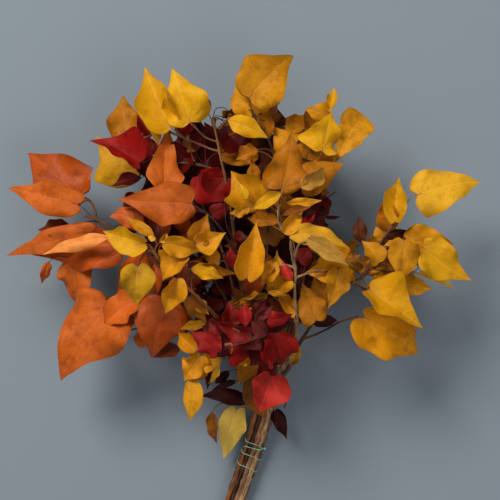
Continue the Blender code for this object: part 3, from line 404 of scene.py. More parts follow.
            (139, 162, 90, 137.5, 34, 126, LOBED, SCARLET), (141, 178, 112, 186.5, 12, 112, NARROW, WINE),
            (150, 138, 137, 114, 14, 116, NARROW, CRIMSON), (152, 155, 134, 132, 18, 112, HEART, SCARLET),
            (192, 122, 179, 137, 14, 110, NARROW, SCARLET), (199, 176, 226, 201, 36, 118, LOBED, SCARLET),
            (196, 150, 198, 128, 14, 104, NARROW, WINE), (225, 165, 205, 121, 40, 96, HEART, WINE),
            (150, 178, 140, 150, 16, 100, NARROW, WINE), (222, 205, 203, 203, 14, 108, HEART, WINE)),
        small_leaves=(
            (226, 178, 206, 206, 28, 112, HEART, CRIMSON), (234, 268, 230, 247, 12, 128, NARROW, SCARLET),
            (212, 214, 232, 204, 16, 108, HEART, CRIMSON), (176, 168, 196, 150, 26, 98, HEART, WINE),
            (240, 146, 222, 126, 30, 100, HEART, WINE)),
        fill_tone=WINE),
    "red_stem_2": BranchPlan(
        route=((276, 351, 104), (275, 342, 136), (262, 337, 150), (245, 341, 150), (225, 345, 148)),
        twigs=(
            ((245, 341, 150), (240, 333, 153), (233, 328, 155)),
            ((262, 337, 150), (262, 327, 154), (259, 321, 156)),
            ((269.5, 376, 58), (262, 384, 66), (252, 394, 62), (243, 398, 56))),
        leaves=(
            (230, 324, 229, 301, 17, 156, HEART, CRIMSON), (246, 326, 245, 303, 11, 157, NARROW, SCARLET),
            (250, 334, 212, 322, 16, 158, HEART, CRIMSON), (218, 346, 209, 322, 9, 150, NARROW, CRIMSON),
            (217, 352, 190, 331, 17, 152, HEART, SCARLET), (266, 335, 251, 321, 14, 160, HEART, MAUVE),
            (256, 319, 273, 306, 7, 156, NARROW, MAUVE), (268, 320, 294, 314, 14, 158, HEART, SCARLET),
            (276, 334, 282, 366, 28, 150, HEART, CRIMSON), (267, 340, 271, 369, 12, 146, NARROW, SCARLET),
            (264, 341, 246, 348, 9, 152, NARROW, MAUVE), (242, 399, 197, 396, 14, 50, HEART, BURGUNDY),
            (229, 371, 215, 384, 8, 80, NARROW, BURGUNDY), (236, 381, 212, 389.5, 7, 74, NARROW, BURGUNDY)),
        # These leaves are tinted dark wine partly as painted shade, for the dark gaps between the red leaves
        small_leaves=(
            (252, 318, 266, 299, 13, 148, NARROW, MAUVE), (266, 324, 297, 325, 20, 134, HEART, WINE),
            (222, 334, 200, 320, 18, 132, HEART, WINE), (250, 346, 220, 339, 20, 134, HEART, CRIMSON),
            (216, 345, 225, 358, 12, 144, NARROW, WINE), (240, 322, 262, 300, 24, 130, HEART, WINE),
            (262, 350, 250, 366, 16, 128, HEART, WINE)),
        fill_tone=WINE),
    "red_stem_3": BranchPlan(
        route=((290, 366, 74), (287, 362, 95), (278, 366, 110)),
        twigs=(((278, 392, 40), (287, 396, 40), (284, 408, 38)),),
        leaves=(
            (271, 377, 260, 412, 40, 112, HEART, ROSE), (275, 412, 287, 439, 15, 34, HEART, BURGUNDY)),
        fill_tone=WINE, fan=1),
    "red_stem_4": BranchPlan(
        route=((286, 335, 66), (300, 300, 82), (308, 250, 95), (312, 220, 98)),
        twigs=(((297, 312, 82), (306, 318, 92), (311, 321, 98)),),
        leaves=(
            (298, 280, 310, 238, 16, 110, NARROW, BURGUNDY), (321, 214, 323, 204, 5, 100, NARROW, BURGUNDY),
            (325, 217, 341, 217, 4, 98, NARROW, BURGUNDY), (299, 225, 320, 199, 9, 104, NARROW, BURGUNDY),
            (313, 320, 297, 320, 11, 102, NARROW, BURGUNDY),
            (312, 322, 338, 320, 13, 98, NARROW, BURGUNDY)),
        small_leaves=(
            (292, 281, 282, 261, 9, 158, NARROW, ROSE), (296, 224, 318, 208, 22, 106, HEART, SCARLET),
            (300, 262, 312, 246, 18, 112, HEART, CRIMSON)),
        fill_tone=BURGUNDY),
    "red_stem_5": BranchPlan(
        route=((262, 330, 44), (238, 270, 55), (225, 200, 55), (218, 160, 36), (214, 132, 12),
               (212, 121, 4)),
        twigs=(
            ((226, 210, 55), (245, 185, 66), (255, 165, 70)),
            ((238, 270, 55), (255, 240, 66), (262, 215, 70))),
        leaves=((206, 112, 182, 97, 24, 0, HEART, BURGUNDY),),
        fill_tone=BURGUNDY),
    "red_stem_6": BranchPlan(
        route=((240, 325, 42), (205, 260, 50), (185, 200, 50), (172, 165, 44)),
        twigs=(
            ((208, 268, 50), (185, 250, 58), (165, 240, 60)),
            ((190, 215, 50), (205, 190, 62), (210, 170, 66))),
        fill_tone=WINE),
}

# How much broader a blade is than the frame's plain one, for a branch or for one leaf of it by number
BREADTH = 1.06
BREADTHS = {"gold_stem_2": 1.1, "gold_stem_2 0": 0.94, "gold_stem_2 1": 1.2, "gold_stem_2 4": 1.6,
            "gold_stem_2 16": 0.95, "gold_stem_2 19": 1.3, "gold_stem_3 17": 0.84, "gold_stem_3 19": 0.92,
            "gold_stem_5 0": 1.8, "gold_stem_5 1": 1.9, "gold_stem_5 2": 1.3, "gold_stem_5 3": 1.5,
            "gold_stem_5 4": 1.9, "gold_stem_5 5": 1.25, "gold_stem_5 10": 1.5, "gold_stem_6 15": 1.5,
            "orange_stem_1 4": 0.66, "orange_stem_1 5": 1.2, "orange_stem_1 6": 1.12, "orange_stem_2 0": 1.0,
            "orange_stem_3 0": 1.25, "red_stem_1": 1.12, "red_stem_1 0": 0.86, "red_stem_2": 1.22,
            "red_stem_3 0": 0.92}

# The leaves that have an outline of their own
SHAPED = {"gold_stem_2 16": FAN_OUTLINE, "gold_stem_3 19": BROAD_OUTLINE,
          "orange_stem_2 0": TAPERED_OUTLINE, "orange_stem_3 0": TAPERED_OUTLINE}

# The colour of each branch's bark, and how stout its stem is; the darkest barks are partly painted shade, for
# the dark gaps between the tied stems
BARK = ("#6A3A1A", 0.95)
BARKS_AND_GAP_SHADE = {"gold_stem_1": ("#7A4C26", 0.85), "gold_stem_2": ("#4A2814", 0.80),
         "gold_stem_4": ("#824A1E", 1.05), "gold_stem_5": ("#4E240E", 1.15),
         "gold_stem_6": ("#A47E54", 1.16), "orange_stem_3": ("#42200E", 0.72),
         "red_stem_2": ("#8C6040", 1.10), "red_stem_3": ("#7C5434", 1.00)}

# The material slot of each hue, how its leaves shine, and the branches that a tone inside the bunch hangs on
SLOTS = {"gold": "gold_leaves", "orange": "orange_leaves", "red": "red_leaves"}
SHINES = {"gold": 0.16, "orange": 0.24, "red": 0.15}
HUES = {tone: "gold" for tone in (BRIGHT, GOLD, DULL, BROWN_GOLD, NUT)}
HUES.update({tone: "orange" for tone in (RUST, EMBER)})
HUES.update({tone: "red" for tone in (SCARLET, CRIMSON, WINE, BURGUNDY)})



def place(across: float, down: float, height: float) -> Vector:
    """Find the point, in millimetres, on the line of sight through a place in the frame."""
    spread = (EYE_HEIGHT + EYE_LEVEL - height) / EYE_HEIGHT
    return Vector(((across - FRAME_MIDDLE) * spread, (FRAME_MIDDLE - down) * spread, height))


def smooth(points: Sequence[Vector], steps: int) -> list[Vector]:
    """Draw a smooth line through points.

    Args:
        points: the points in order.
        steps: how many steps lie between each two.

    Returns:
        The line's points.
    """
    line = [points[0]]
    for i in range(len(points) - 1):
        before = points[i - 1] if i else points[0] * 2 - points[1]
        after = points[i + 2] if i + 2 < len(points) else points[-1] * 2 - points[-2]
        span = (points[i + 1] - points[i]).length
        lead = (points[i + 1] - before) * (span / (span + (points[i] - before).length))
        tail = (after - points[i]) * (span / (span + (after - points[i + 1]).length))
        for step in range(1, steps + 1):
            t = step / steps
            line.append(points[i] * (2 * t**3 - 3 * t**2 + 1) + lead * (t**3 - 2 * t**2 + t)
                        + points[i + 1] * (3 * t**2 - 2 * t**3) + tail * (t**3 - t**2))
    return line


def strays(line: Sequence[Vector]) -> float:
    """Measure how far a line strays from the straight run between its ends, in millimetres."""
    run = (line[-1] - line[0]).normalized()
    return max((point - line[0] - run * (point - line[0]).dot(run)).length for point in line)


def thin(line: Sequence[Vector]) -> list[Vector]:
    """Leave out the points that a line's course doesn't need.

    Args:
        line: the line's points.

    Returns:
        The points that are kept, the frame's own.
    """
    kept = [0]
    while kept[-1] < len(line) - 1:
        start = kept[-1]
        end = start + 1
        while end + 1 < len(line) and strays(line[start:end + 2]) <= STRAIGHT_ENOUGH:
            end += 1
        kept.append(end)
    return [line[k] for k in kept]


def subdivide(line: Sequence[Vector], steps: int) -> list[Vector]:
    """Cut the runs between a line's points into equal steps, and give the starts of the steps."""
    return [low.lerp(high, step / steps) for low, high in zip(line, line[1:]) for step in range(steps)]


def tube_rings(line: Sequence[Vector], radii: Sequence[float], sides: int,
               across: Vector | None = None) -> np.ndarray:
    """Lay rings of points round a line, each turned as little as the line's bends allow.

    Args:
        line: the line's points.
        radii: the radius at each point.
        sides: how many points a ring has.
        across: the first spoke, or nothing for any.

    Returns:
        An array of rings by sides by three.
    """
    rings = np.empty((len(line), sides, 3))
    ahead = (line[1] - line[0]).normalized()
    free = across is None
    if free:
        across = ahead.cross(Vector((0.31, 0.17, 0.93))).normalized()
    for i, middle in enumerate(line):
        if i or free:
            turned = (line[min(i + 1, len(line) - 1)] - line[max(i - 1, 0)]).normalized()
            across = (ahead.rotation_difference(turned) @ across).normalized()
            ahead = turned
        for side in range(sides):
            spoke = Quaternion(ahead, 2 * math.pi * side / sides) @ across
            rings[i, side] = middle + spoke * radii[i]
    return rings


def lane_offset(name: str) -> tuple[float, float]:
    """Find where a stem lies in the bundle.

    Args:
        name: the branch's name.

    Returns:
        How far to the right of the bundle's middle and how far above it.
    """
    row = next(i for i, names in enumerate(LANE_ROWS) if name in names)
    column = LANE_ROWS[row].index(name)
    return (column - 1.5 + (0.25 if row % 2 else -0.25)) * LANE_PITCH, (1.5 - row) * ROW_PITCH


def fan_lane(name: str) -> list[Vector]:
    """Find a stem's places where the stems fan out past the tied part.

    Args:
        name: the branch's name.

    Returns:
        The places in millimetres.
    """
    sideways, upward = lane_offset(name)
    return [place(across, down, height) + Vector((sideways, 0, upward)) * spread
            for across, down, height, spread in FAN]


def bundle_lane(name: str) -> list[Vector]:
    """Find a stem's own line through the tied part of the bunch.

    Args:
        name: the branch's name.

    Returns:
        The places in millimetres, from the cut end upwards.
    """
    sideways, upward = lane_offset(name)
    middle = [place(*point) for point in BUNDLE]
    middle[0] += (middle[0] - middle[1]).normalized() * random.Random(name).uniform(-BUTT_SPREAD, BUTT_SPREAD)
    lane = []
    for i, point in enumerate(middle):
        ahead = middle[min(i + 1, len(middle) - 1)] - middle[max(i - 1, 0)]
        across = Vector((ahead.y, -ahead.x, 0)).normalized()
        lane.append(point + across * sideways + across.cross(ahead).normalized() * upward)
    return lane


def linear(colour: str) -> np.ndarray:
    """Turn an sRGB hex colour to linear.

    Args:
        colour: the colour as #RRGGBB.

    Returns:
        Red, green, blue and alpha, linear.
    """
    parts = np.array([int(colour[k:k + 2], 16) / 255 for k in (1, 3, 5)])
    parts = np.where(parts <= 0.04045, parts / 12.92, ((parts + 0.055) / 1.055)**2.4)
    return np.append(parts, 1.0)


class LeafPose:
    """Where one leaf of the frame lies, and how it bends."""

    def __init__(self, base: Vector, tip: Vector, width: float, outline: Outline, seed: str,
                 flat: bool = False) -> None:
        """Set the leaf out as the frame's source does.

        Args:
            base: where the blade meets its stalk.
            tip: the blade's tip.
            width: the blade's full width.
            outline: the outline of half the blade.
            seed: what its small turns are drawn from.
            flat: whether it lies pressed on the surface.
        """
        draw = random.Random(seed)
        self.base, self.tip, self.outline, self.flat, self.seed = base, tip, outline, flat, seed
        self.length = (tip - base).length
        self.along = (tip - base) / self.length
        tilt = math.radians(draw.uniform(-TILT, TILT))
        fold = math.radians(draw.uniform(*FOLD))
        self.arch = draw.uniform(*ARCH)
        self.sway = draw.uniform(-SWAY, SWAY)
        self.ripple = draw.uniform(*RIPPLE)
        self.phase = draw.uniform(0, 2 * math.pi)
        if flat:
            tilt = fold = self.arch = self.ripple = 0
        upright = Vector((0, 0, 1)) - self.along * self.along.z
        if upright.length < 0.05:
            upright = Vector((0, 1, 0)) - self.along * self.along.y
        self.normal = Quaternion(self.along, tilt) @ upright.normalized()
        self.side = self.along.cross(self.normal)
        self.half_width = width / 2 / math.cos(tilt)
        self.spread, self.rise = math.cos(fold), math.sin(fold)

    def surface(self, t: np.ndarray, x: np.ndarray, crease: float = 0.0) -> np.ndarray:
        """Find points of the blade.

        Args:
            t: how far along its length, from 0 to 1.
            x: how far across, from -1 to 1.
            crease: how round the fold along the midrib is.

        Returns:
            The points in millimetres.
        """
        bow = 4 * t * (1 - t) * self.length
        folded = np.sqrt(x * x + crease * crease) - crease
        lift = self.half_width * (folded * self.rise + self.ripple * x * x * np.sin(9 * t + self.phase + x))
        parts = (t * self.length, x * self.half_width * self.spread + self.sway * bow, self.arch * bow + lift)
        axes = (self.along, self.side, self.normal)
        moves = [np.multiply.outer(part, np.array(axis)) for part, axis in zip(parts, axes)]
        return np.array(self.base) + sum(moves)

    def corners(self) -> np.ndarray:
        """Give the corners of the frame's plain blade.

        Returns:
            The corners in millimetres, the tip first.
        """
        t = np.array([1.0] + [t for t, _ in self.outline for _ in (0, 1)])
        x = np.array([0.0] + [sign * x for _, x in self.outline for sign in (-1, 1)])
        points = self.surface(t, x)
        if self.flat:
            points[:, 2] = 0.0
        return points

    def stalk_course(self, root: Vector, lead: Vector) -> list[Vector]:
        """Draw the stalk from its root in the wood to the blade's base.

        Args:
            root: where it leaves the wood.
            lead: how the wood runs there.

        Returns:
            The five points of the frame's stalk.
        """
        reach = (self.base - root).length
        first = root + lead * (reach * 0.35)
        second = self.base - self.along * max(reach * 0.3, min(reach * 0.8, STALK_APPROACH))
        line = []
        for step in range(STALK_STEPS + 1):
            t = 1 - step / STALK_STEPS
            line.append(root * (1 - t)**3 + first * (3 * t * (1 - t)**2) + second * (3 * t * t * (1 - t))
                        + self.base * t**3)
        return line


class Wood:
    """The stem and twigs of one branch, both as the frame has them and as fine lines."""

    def __init__(self, name: str, plan: BranchPlan) -> None:
        """Set out the branch's lines.

        Args:
            name: the branch's name.
            plan: its places.
        """
        lane = bundle_lane(name)
        points = lane + fan_lane(name)[:plan.fan] + [place(*point) for point in plan.route]
        free = smooth(points, FRAME_STEPS)[FRAME_STEPS * (len(lane) - 1):]
        self.axes = [lane + thin(free)[1:]]
        self.fine = [smooth(points, FINE_STEPS)]
        self.tied_steps = FINE_STEPS * (len(lane) - 1)
        for twig in plan.twigs:
            points = [place(*point) for point in twig]
            points[0] = self.on_wood(points[0])
            self.axes.append(thin(smooth(points, FRAME_STEPS)))
            self.fine.append(smooth(points, FINE_STEPS))
        self.walk = list(self.walk_points())

    def on_wood(self, point: Vector) -> Vector:
        """Find the nearest place to a point on the middle of the wood that is there so far.

        Args:
            point: the point.

        Returns:
            The place on the wood.
        """
        near = []
        for line in self.axes:
            for low, high in zip(line, line[1:]):
                run = high - low
                part = np.clip((point - low).dot(run) / run.length_squared, *TWIG_REACH)
                near.append(low + run * float(part))
        return min(near, key=lambda place_on: (place_on - point).length)

    def walk_points(self) -> Iterator[tuple[Vector, Vector, int]]:
        """Walk along all the wood that a stalk may root in.

        Returns:
            Each place, how the wood runs there, and the number of its line.
        """
        for i, line in enumerate(self.axes):
            path = line[len(BUNDLE) - 2 if i == 0 else 0:]
            for low, high in zip(path, path[1:]):
                count = max(1, round((high - low).length / WALK_PITCH))
                for step in range(count):
                    yield low.lerp(high, step / count), (high - low).normalized(), i
            yield path[-1], (path[-1] - path[-2]).normalized(), i

    def roots(self, leaf: LeafPose) -> Iterator[tuple[Vector, Vector]]:
        """Give the roots that a leaf's stalk may have, in the order that the frame's source tries them.

        Args:
            leaf: the leaf.

        Returns:
            Each root and how the wood runs there.
        """
        nearest = min(range(len(self.walk)), key=lambda k: (self.walk[k][0] - leaf.base).length)
        away = (self.walk[nearest][0] - leaf.base).length
        for slant in STALK_SLANTS:
            k, gone = nearest, 0.0
            while gone < max(slant * away, SHORTEST_STALK - away):
                if not k or self.walk[k - 1][2] != self.walk[k][2]:
                    break
                gone += (self.walk[k][0] - self.walk[k - 1][0]).length
                k -= 1
            if (self.walk[k][0] - leaf.base).length > SHORTEST_STALK:
                yield self.walk[k][0], self.walk[k][1]


class FrameNode:
    """The corners of one node of the frame, to look leaves up in."""

    def __init__(self, name: str, shift: Vector) -> None:
        """Take the node's corners.

        Args:
            name: the node's name.
            shift: how far the frame was moved onto the origin, in millimetres.
        """
        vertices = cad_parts[name].data.vertices
        self.tree = KDTree(len(vertices))
        for i, vertex in enumerate(vertices):
            self.tree.insert(vertex.co / MM + shift, i)
        self.tree.balance()

    def share(self, points: np.ndarray) -> float:
        """Tell what share of points, in millimetres, the node has a corner at, from 0 to 1."""
        found = [self.tree.find(point)[2] < FOUND_WITHIN for point in points]
        return sum(found) / len(found)


@dataclass
class HungLeaf:
    """A leaf that the frame has, with the course of its stalk and its tone."""

    pose: LeafPose
    stalk: list[Vector]
    tone: Tone


@dataclass
class LeafFinder:
    """Finds the leaves of a branch in the frame."""

    name: str
    plan: BranchPlan
    wood: Wood
    node: FrameNode

    def traced(self, index: int, depth: float) -> LeafPose:
        """Set out a leaf of the list.

        Args:
            index: its number.
            depth: how far it is moved along the line of sight.

        Returns:
            The leaf.
        """
        across, down, tip_across, tip_down, width, height, outline, _ = self.plan.leaves[index]
        seed = f"{self.name} {index}"
        if height == 0:
            return LeafPose(place(across, down, STALK_RADIUS), place(tip_across, tip_down, STALK_RADIUS),
                            width, outline, seed, True)
        size = math.hypot(tip_across - across, tip_down - down)
        if size < SMALL_LENGTH:
            outline = SMALL
        elif size < LOBED_LENGTH and outline is LOBED:
            outline = HEART
        drop = random.Random(seed + " drop").uniform(*TIP_DROP) * size
        height += depth
        return LeafPose(place(across, down, height), place(tip_across, tip_down, height - drop), width,
                        outline, seed)

    def fill(self, index: int) -> LeafPose:
        """Set out a try at a leaf that fills the inside or the back.

        Args:
            index: the try's number.

        Returns:
            The leaf.
        """
        seed = f"{self.name} fill {index}"
        draw = random.Random(seed)
        root, lead, _ = self.wood.walk[draw.randrange(len(self.wood.walk))]
        turn = draw.uniform(0, 2 * math.pi)
        out = Vector((math.cos(turn), math.sin(turn) + 0.5, draw.uniform(-0.9, 0.5))).normalized()
        base = root + (out + lead * 0.4).normalized() * draw.uniform(*FILL_SPREAD)
        length = draw.uniform(*FILL_LENGTH)
        way = out + Vector((draw.uniform(-0.5, 0.5), draw.uniform(-0.3, 0.7), draw.uniform(-0.8, 0.2)))
        return LeafPose(base, base + way.normalized() * length, length * draw.uniform(0.6, 0.8), PLAIN, seed)

    def stalk(self, leaf: LeafPose) -> list[Vector]:
        """Find the course of a leaf's stalk.

        Args:
            leaf: the leaf.

        Returns:
            The stalk's five points.
        """
        best, best_share = [], -1.0
        for root, lead in self.wood.roots(leaf):
            course = leaf.stalk_course(root, lead)
            line = thin(course)
            rings = tube_rings(line, [STALK_RADIUS] * len(line), STALK_SIDES, leaf.normal)
            share = self.node.share(rings.reshape(-1, 3))
            if share > best_share:
                best, best_share = course, share
        return best

    def leaves(self) -> Iterator[HungLeaf]:
        """Look the branch's leaves up in the frame.

        Returns:
            Each leaf that the frame has.
        """
        for index, facts in enumerate(self.plan.leaves):
            poses = [self.traced(index, depth) for depth in DEPTH_STEPS]
            pose = max(poses, key=lambda pose: self.node.share(pose.corners()))
            if pose.flat or self.node.share(pose.corners()) >= ENOUGH_FOUND:
                yield HungLeaf(pose, self.stalk(pose), facts[-1])
            else:
                log.warning("%s: leaf %d isn't in the frame", self.name, index)
        for index in range(FILL_TRIES):
            pose = self.fill(index)
            if self.node.share(pose.corners()) >= ENOUGH_FOUND:
                yield HungLeaf(pose, self.stalk(pose), self.plan.fill_tone)
        for index, (across, down, tip_across, tip_down, width, height, outline, tone) in enumerate(
                self.plan.small_leaves):
            pose = LeafPose(place(across, down, height), place(tip_across, tip_down, height - SMALL_DROP),
                            width, outline, f"{self.name} small {index}")
            root, lead, _ = min(self.wood.walk, key=lambda spot: (spot[0] - pose.base).length)
            yield HungLeaf(pose, pose.stalk_course(root, lead), tone)


class Skin:
    """Points, faces and marks that grow into one piece."""

    def __init__(self) -> None:
        """Start empty."""
        self.points: list[np.ndarray] = []
        self.faces: list[tuple[int, ...]] = []
        self.marks: dict[str, list[np.ndarray]] = {}
        self.count = 0

    def add(self, points: np.ndarray, faces: Sequence[tuple[int, ...]], **marks: np.ndarray) -> None:
        """Add a closed part.

        Args:
            points: its points in millimetres.
            faces: its faces by number.
            **marks: for each mark, four numbers a point, or four for all.
        """
        self.points.append(points)
        self.faces.extend(tuple(k + self.count for k in face) for face in faces)
        for name, values in marks.items():
            self.marks.setdefault(name, []).append(np.broadcast_to(values, (len(points), 4)))
        self.count += len(points)

    def piece(self, name: str, finish: bpy.types.Material, shift: Vector, node: str,
              slot: str) -> bpy.types.Object:
        """Make the piece, and let it stand for its node.

        Args:
            name: the piece's name.
            finish: its material.
            shift: how far the frame was moved onto the origin, in millimetres.
            node: the node that it stands for.
            slot: not used.

        Returns:
            The piece.
        """
        points = np.concatenate(self.points) - np.array(shift)
        points[:, 2] = np.maximum(points[:, 2], LOWEST_POINT)
        mesh = bpy.data.meshes.new(name)
        mesh.from_pydata((points * MM).tolist(), [], self.faces)
        for mark, values in self.marks.items():
            layer = mesh.attributes.new(mark, "FLOAT_COLOR", "POINT")
            layer.data.foreach_set("color", np.concatenate(values).astype(np.float32).ravel())
        mesh.shade_smooth()
        mesh.set_sharp_from_angle(angle=SHARP_ANGLE)
        mesh.materials.append(finish)
        piece = bpy.data.objects.new(name, mesh)
        bpy.context.scene.collection.objects.link(piece)
        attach(piece, "root")
        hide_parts(node)
        log.info("%s: %d points, %d faces", name, len(mesh.vertices), len(mesh.polygons))
        return piece


@dataclass
class Habit:
    """How one leaf has curled as it dried, each as a part of its half width unless it says otherwise.

    cup: how far its sides rise, or sink where it is negative
    twist: how far it turns round its midrib towards the tip
    ruffle: how far its rim swings up and down
    waves: how many swings each side has, left and right
    phases: where the swings start, left and right
    tip_curl: how far its tip bends down, as a part of its length
    hook: how far its rim rolls under at the very edge
    """

    cup: float
    twist: float
    ruffle: float
    waves: tuple[float, float]
    phases: tuple[float, float]
    tip_curl: float
    hook: float

    @classmethod
    def drawn(cls, draw: random.Random) -> Habit:
        """Draw a leaf's habit.

        Args:
            draw: the leaf's own draw.

        Returns:
            The habit.
        """
        return cls(cup=draw.uniform(-0.50, 0.85), twist=draw.uniform(-1.0, 1.0),
                   ruffle=draw.uniform(0.20, 0.50),
                   waves=(draw.uniform(0.9, 2.3), draw.uniform(0.9, 2.3)),
                   phases=(draw.uniform(0, 2 * math.pi), draw.uniform(0, 2 * math.pi)),
                   tip_curl=draw.uniform(-0.12, 0.26), hook=draw.uniform(0.0, 0.16))


@dataclass
class Blade:
    """A leaf's blade as a thin closed sheet, wavy at its edge and quilted between its veins.

    A play is how far a leaf's own number may lie from the plain one. Sizes are in millimetres.
    """

    leaf: HungLeaf
    breadth: float = 1.0
    breadth_play: tuple[float, float] = (-0.08, 0.06)
    along_play: float = 0.018
    across_play: float = 0.05
    thickness: float = 0.36
    crease: float = 0.12
    vein_spread: float = math.radians(34)
    quilt: float = 0.026
    flat_quilt: float = 0.3
    scallop: float = 0.036
    broad_scallop: float = 0.4
    scallop_pace: tuple[float, float] = (12, 22)
    heel_start: float = 0.30
    twist_start: float = 0.15
    curl_start: float = 0.55
    curl_growth: float = 3.0
    key_steps: int = 10
    finest_ray: float = 2.1
    fewest_rays: int = 9
    most_rays: int = 28
    rings_per_mm: float = 0.2
    fewest_rings: int = 5
    most_rings: int = 12
    ring_closeness: float = 0.85
    lightness: tuple[float, float] = (0.86, 1.12)
    warmth_play: float = 0.05
    draw: random.Random = field(init=False)
    habit: Habit = field(init=False)

    def __post_init__(self) -> None:
        """Start the leaf's own draw."""
        self.draw = random.Random(self.leaf.pose.seed + " blade")
        self.habit = Habit.drawn(self.draw)

    def half_rim(self, count: int) -> tuple[np.ndarray, np.ndarray]:
        """Draw the outline of one half from beside the stalk to the tip, no two alike.

        Args:
            count: how many steps it has.

        Returns:
            How far along and how far across its points lie.
        """
        pose = self.leaf.pose
        wide = self.breadth * (1 + self.draw.uniform(*self.breadth_play))
        pace, start = self.draw.uniform(*self.scallop_pace), self.draw.uniform(0, 2 * math.pi)
        keys = [Vector((0, 0, 0))]
        outline = FINE_OUTLINES[pose.outline]
        if pose.seed in SHAPED:
            outline = SHAPED[pose.seed]
        elif 2 * pose.half_width > pose.length:
            outline = BROAD_OUTLINE
        scallop = self.scallop * (self.broad_scallop if outline is BROAD_OUTLINE else 1.0)
        for t, x in outline:
            t += self.draw.uniform(-self.along_play, self.along_play)
            x *= wide + self.draw.uniform(-self.across_play, self.across_play)
            keys.append(Vector((t, x, 0)))
        line = smooth(keys + [Vector((1, 0, 0))], self.key_steps)
        steps = [math.hypot((b.x - a.x) * pose.length, (b.y - a.y) * pose.half_width)
                 for a, b in zip(line, line[1:])]
        travel = np.cumsum([0] + steps)
        stops = np.linspace(self.heel_start * travel[self.key_steps], travel[-1], count + 1)
        t = np.interp(stops, travel, [p.x for p in line])
        return t, np.interp(stops, travel, [p.y for p in line]) * (1 + scallop * np.sin(pace * t + start))

    def rim(self) -> tuple[np.ndarray, np.ndarray]:
        """Draw the whole outline from one side of the stalk round the tip to the other.

        Returns:
            How far along and how far across its points lie.
        """
        pose = self.leaf.pose
        count = (pose.length + pose.half_width) / self.finest_ray
        count = int(min(self.most_rays, max(self.fewest_rays, count)))
        left_t, left_x = self.half_rim(count)
        right_t, right_x = self.half_rim(count)
        return np.concatenate((left_t, right_t[-2::-1])), np.concatenate((-left_x, right_x[-2::-1]))

    def build(self, skin: Skin) -> None:
        """Add the blade to a skin.

        Args:
            skin: the skin that takes it.
        """
        pose, look = self.leaf.pose, self.leaf.tone.value
        rim_t, rim_x = self.rim()
        rays = len(rim_t)
        rings = int(min(self.most_rings, max(self.fewest_rings, pose.length * self.rings_per_mm)))
        reach = (np.arange(1, rings + 1) / rings)**self.ring_closeness
        t, x = np.outer(reach, rim_t), np.outer(reach, rim_x)
        r = np.broadcast_to(reach[:, None], t.shape)
        points = pose.surface(t, x, self.crease)
        points += self.relief(t, x, r)[..., None] * np.array(pose.normal)
        centre = np.array(pose.base)
        top = np.vstack((centre, points.reshape(-1, 3)))
        bottom = top - self.facing(points, centre) * self.thickness
        top_faces = [(0, k + 2, k + 1) for k in range(rays - 1)]
        for ring in range(rings - 1):
            low = 1 + ring * rays
            for k in range(rays - 1):
                top_faces.append((low + k, low + k + 1, low + k + 1 + rays, low + k + rays))
        count = len(top)
        faces = top_faces + [tuple(k + count for k in face[::-1]) for face in top_faces]
        loop = [0] + [1 + ring * rays for ring in range(rings)]
        loop += [1 + (rings - 1) * rays + k for k in range(1, rays)]
        loop += [1 + ring * rays + rays - 1 for ring in range(rings - 2, -1, -1)]
        for a, b in zip(loop, loop[1:] + loop[:1]):
            faces.append((a, b, b + count, a + count))
        marks = np.stack((t * pose.length, x * pose.half_width, 0 * r, r), axis=-1).reshape(-1, 4)
        marks = np.tile(np.vstack((np.zeros(4), marks)), (2, 1))
        marks[:, 2] = self.draw.uniform(0, 100)
        facts = np.tile((0.0, look.gloss, 0.0, 1.0), (2 * count, 1))
        facts[:count, 0] = 1.0
        # A number that nothing takes is drawn, so that the light and warm ones stay as they were
        self.draw.random()
        light = self.draw.uniform(*self.lightness)
        warm = self.draw.uniform(-self.warmth_play, self.warmth_play)
        tint = np.array([light * (1 + warm), light, light * (1 - 2 * warm), 1.0])
        skin.add(np.vstack((top, bottom)), faces, blade_place=marks, blade_facts=facts,
                 face_tone=linear(look.face) * tint, shade_tone=linear(look.shade) * tint)

    def relief(self, t: np.ndarray, x: np.ndarray, r: np.ndarray) -> np.ndarray:
        """Work out how far the blade rises above its plain surface.

        Args:
            t: how far along its points lie.
            x: how far across.
            r: how far out towards the rim, from 0 to 1.

        Returns:
            The rise in millimetres.
        """
        pose, habit = self.leaf.pose, self.habit
        angle = np.arctan2(x * pose.half_width, t * pose.length)
        between = np.sin(np.pi * angle / self.vein_spread)**2
        size = math.sqrt(pose.half_width * pose.length)
        wide = min(pose.half_width, 0.5 * pose.length)
        # The quilting fades out at the rim, where the swings and the hook take over
        quilt = size * self.quilt * between * r * (1.15 - r**3)
        if pose.flat:
            return self.flat_quilt * quilt
        side = (x > 0).astype(int)
        waves, phases = np.array(habit.waves)[side], np.array(habit.phases)[side]
        swing = np.sin(2 * np.pi * waves * t + phases) * np.abs(x)**1.4 * r
        rise = habit.cup * x * x + habit.twist * x * (t - self.twist_start) + habit.ruffle * swing
        rise = rise - habit.hook * np.abs(np.sin(angle)) * r**8
        curl = np.clip(t - self.curl_start, 0, 1)
        return quilt + wide * rise - pose.length * habit.tip_curl * curl**2 * self.curl_growth

    def facing(self, points: np.ndarray, centre: np.ndarray) -> np.ndarray:
        """Work out which way the upper side faces at each point.

        Args:
            points: the rings of points.
            centre: the point that the rings lie round.

        Returns:
            A unit vector for the centre and then for each point.
        """
        inmost = np.broadcast_to(centre, (1,) + points.shape[1:])
        outward = np.gradient(np.concatenate((inmost, points)), axis=0)[1:]
        onward = np.gradient(points, axis=1)
        across = np.cross(onward, outward)
        across /= np.maximum(np.linalg.norm(across, axis=-1, keepdims=True), 1e-9)
        return np.vstack((np.array(self.leaf.pose.normal), across.reshape(-1, 3)))


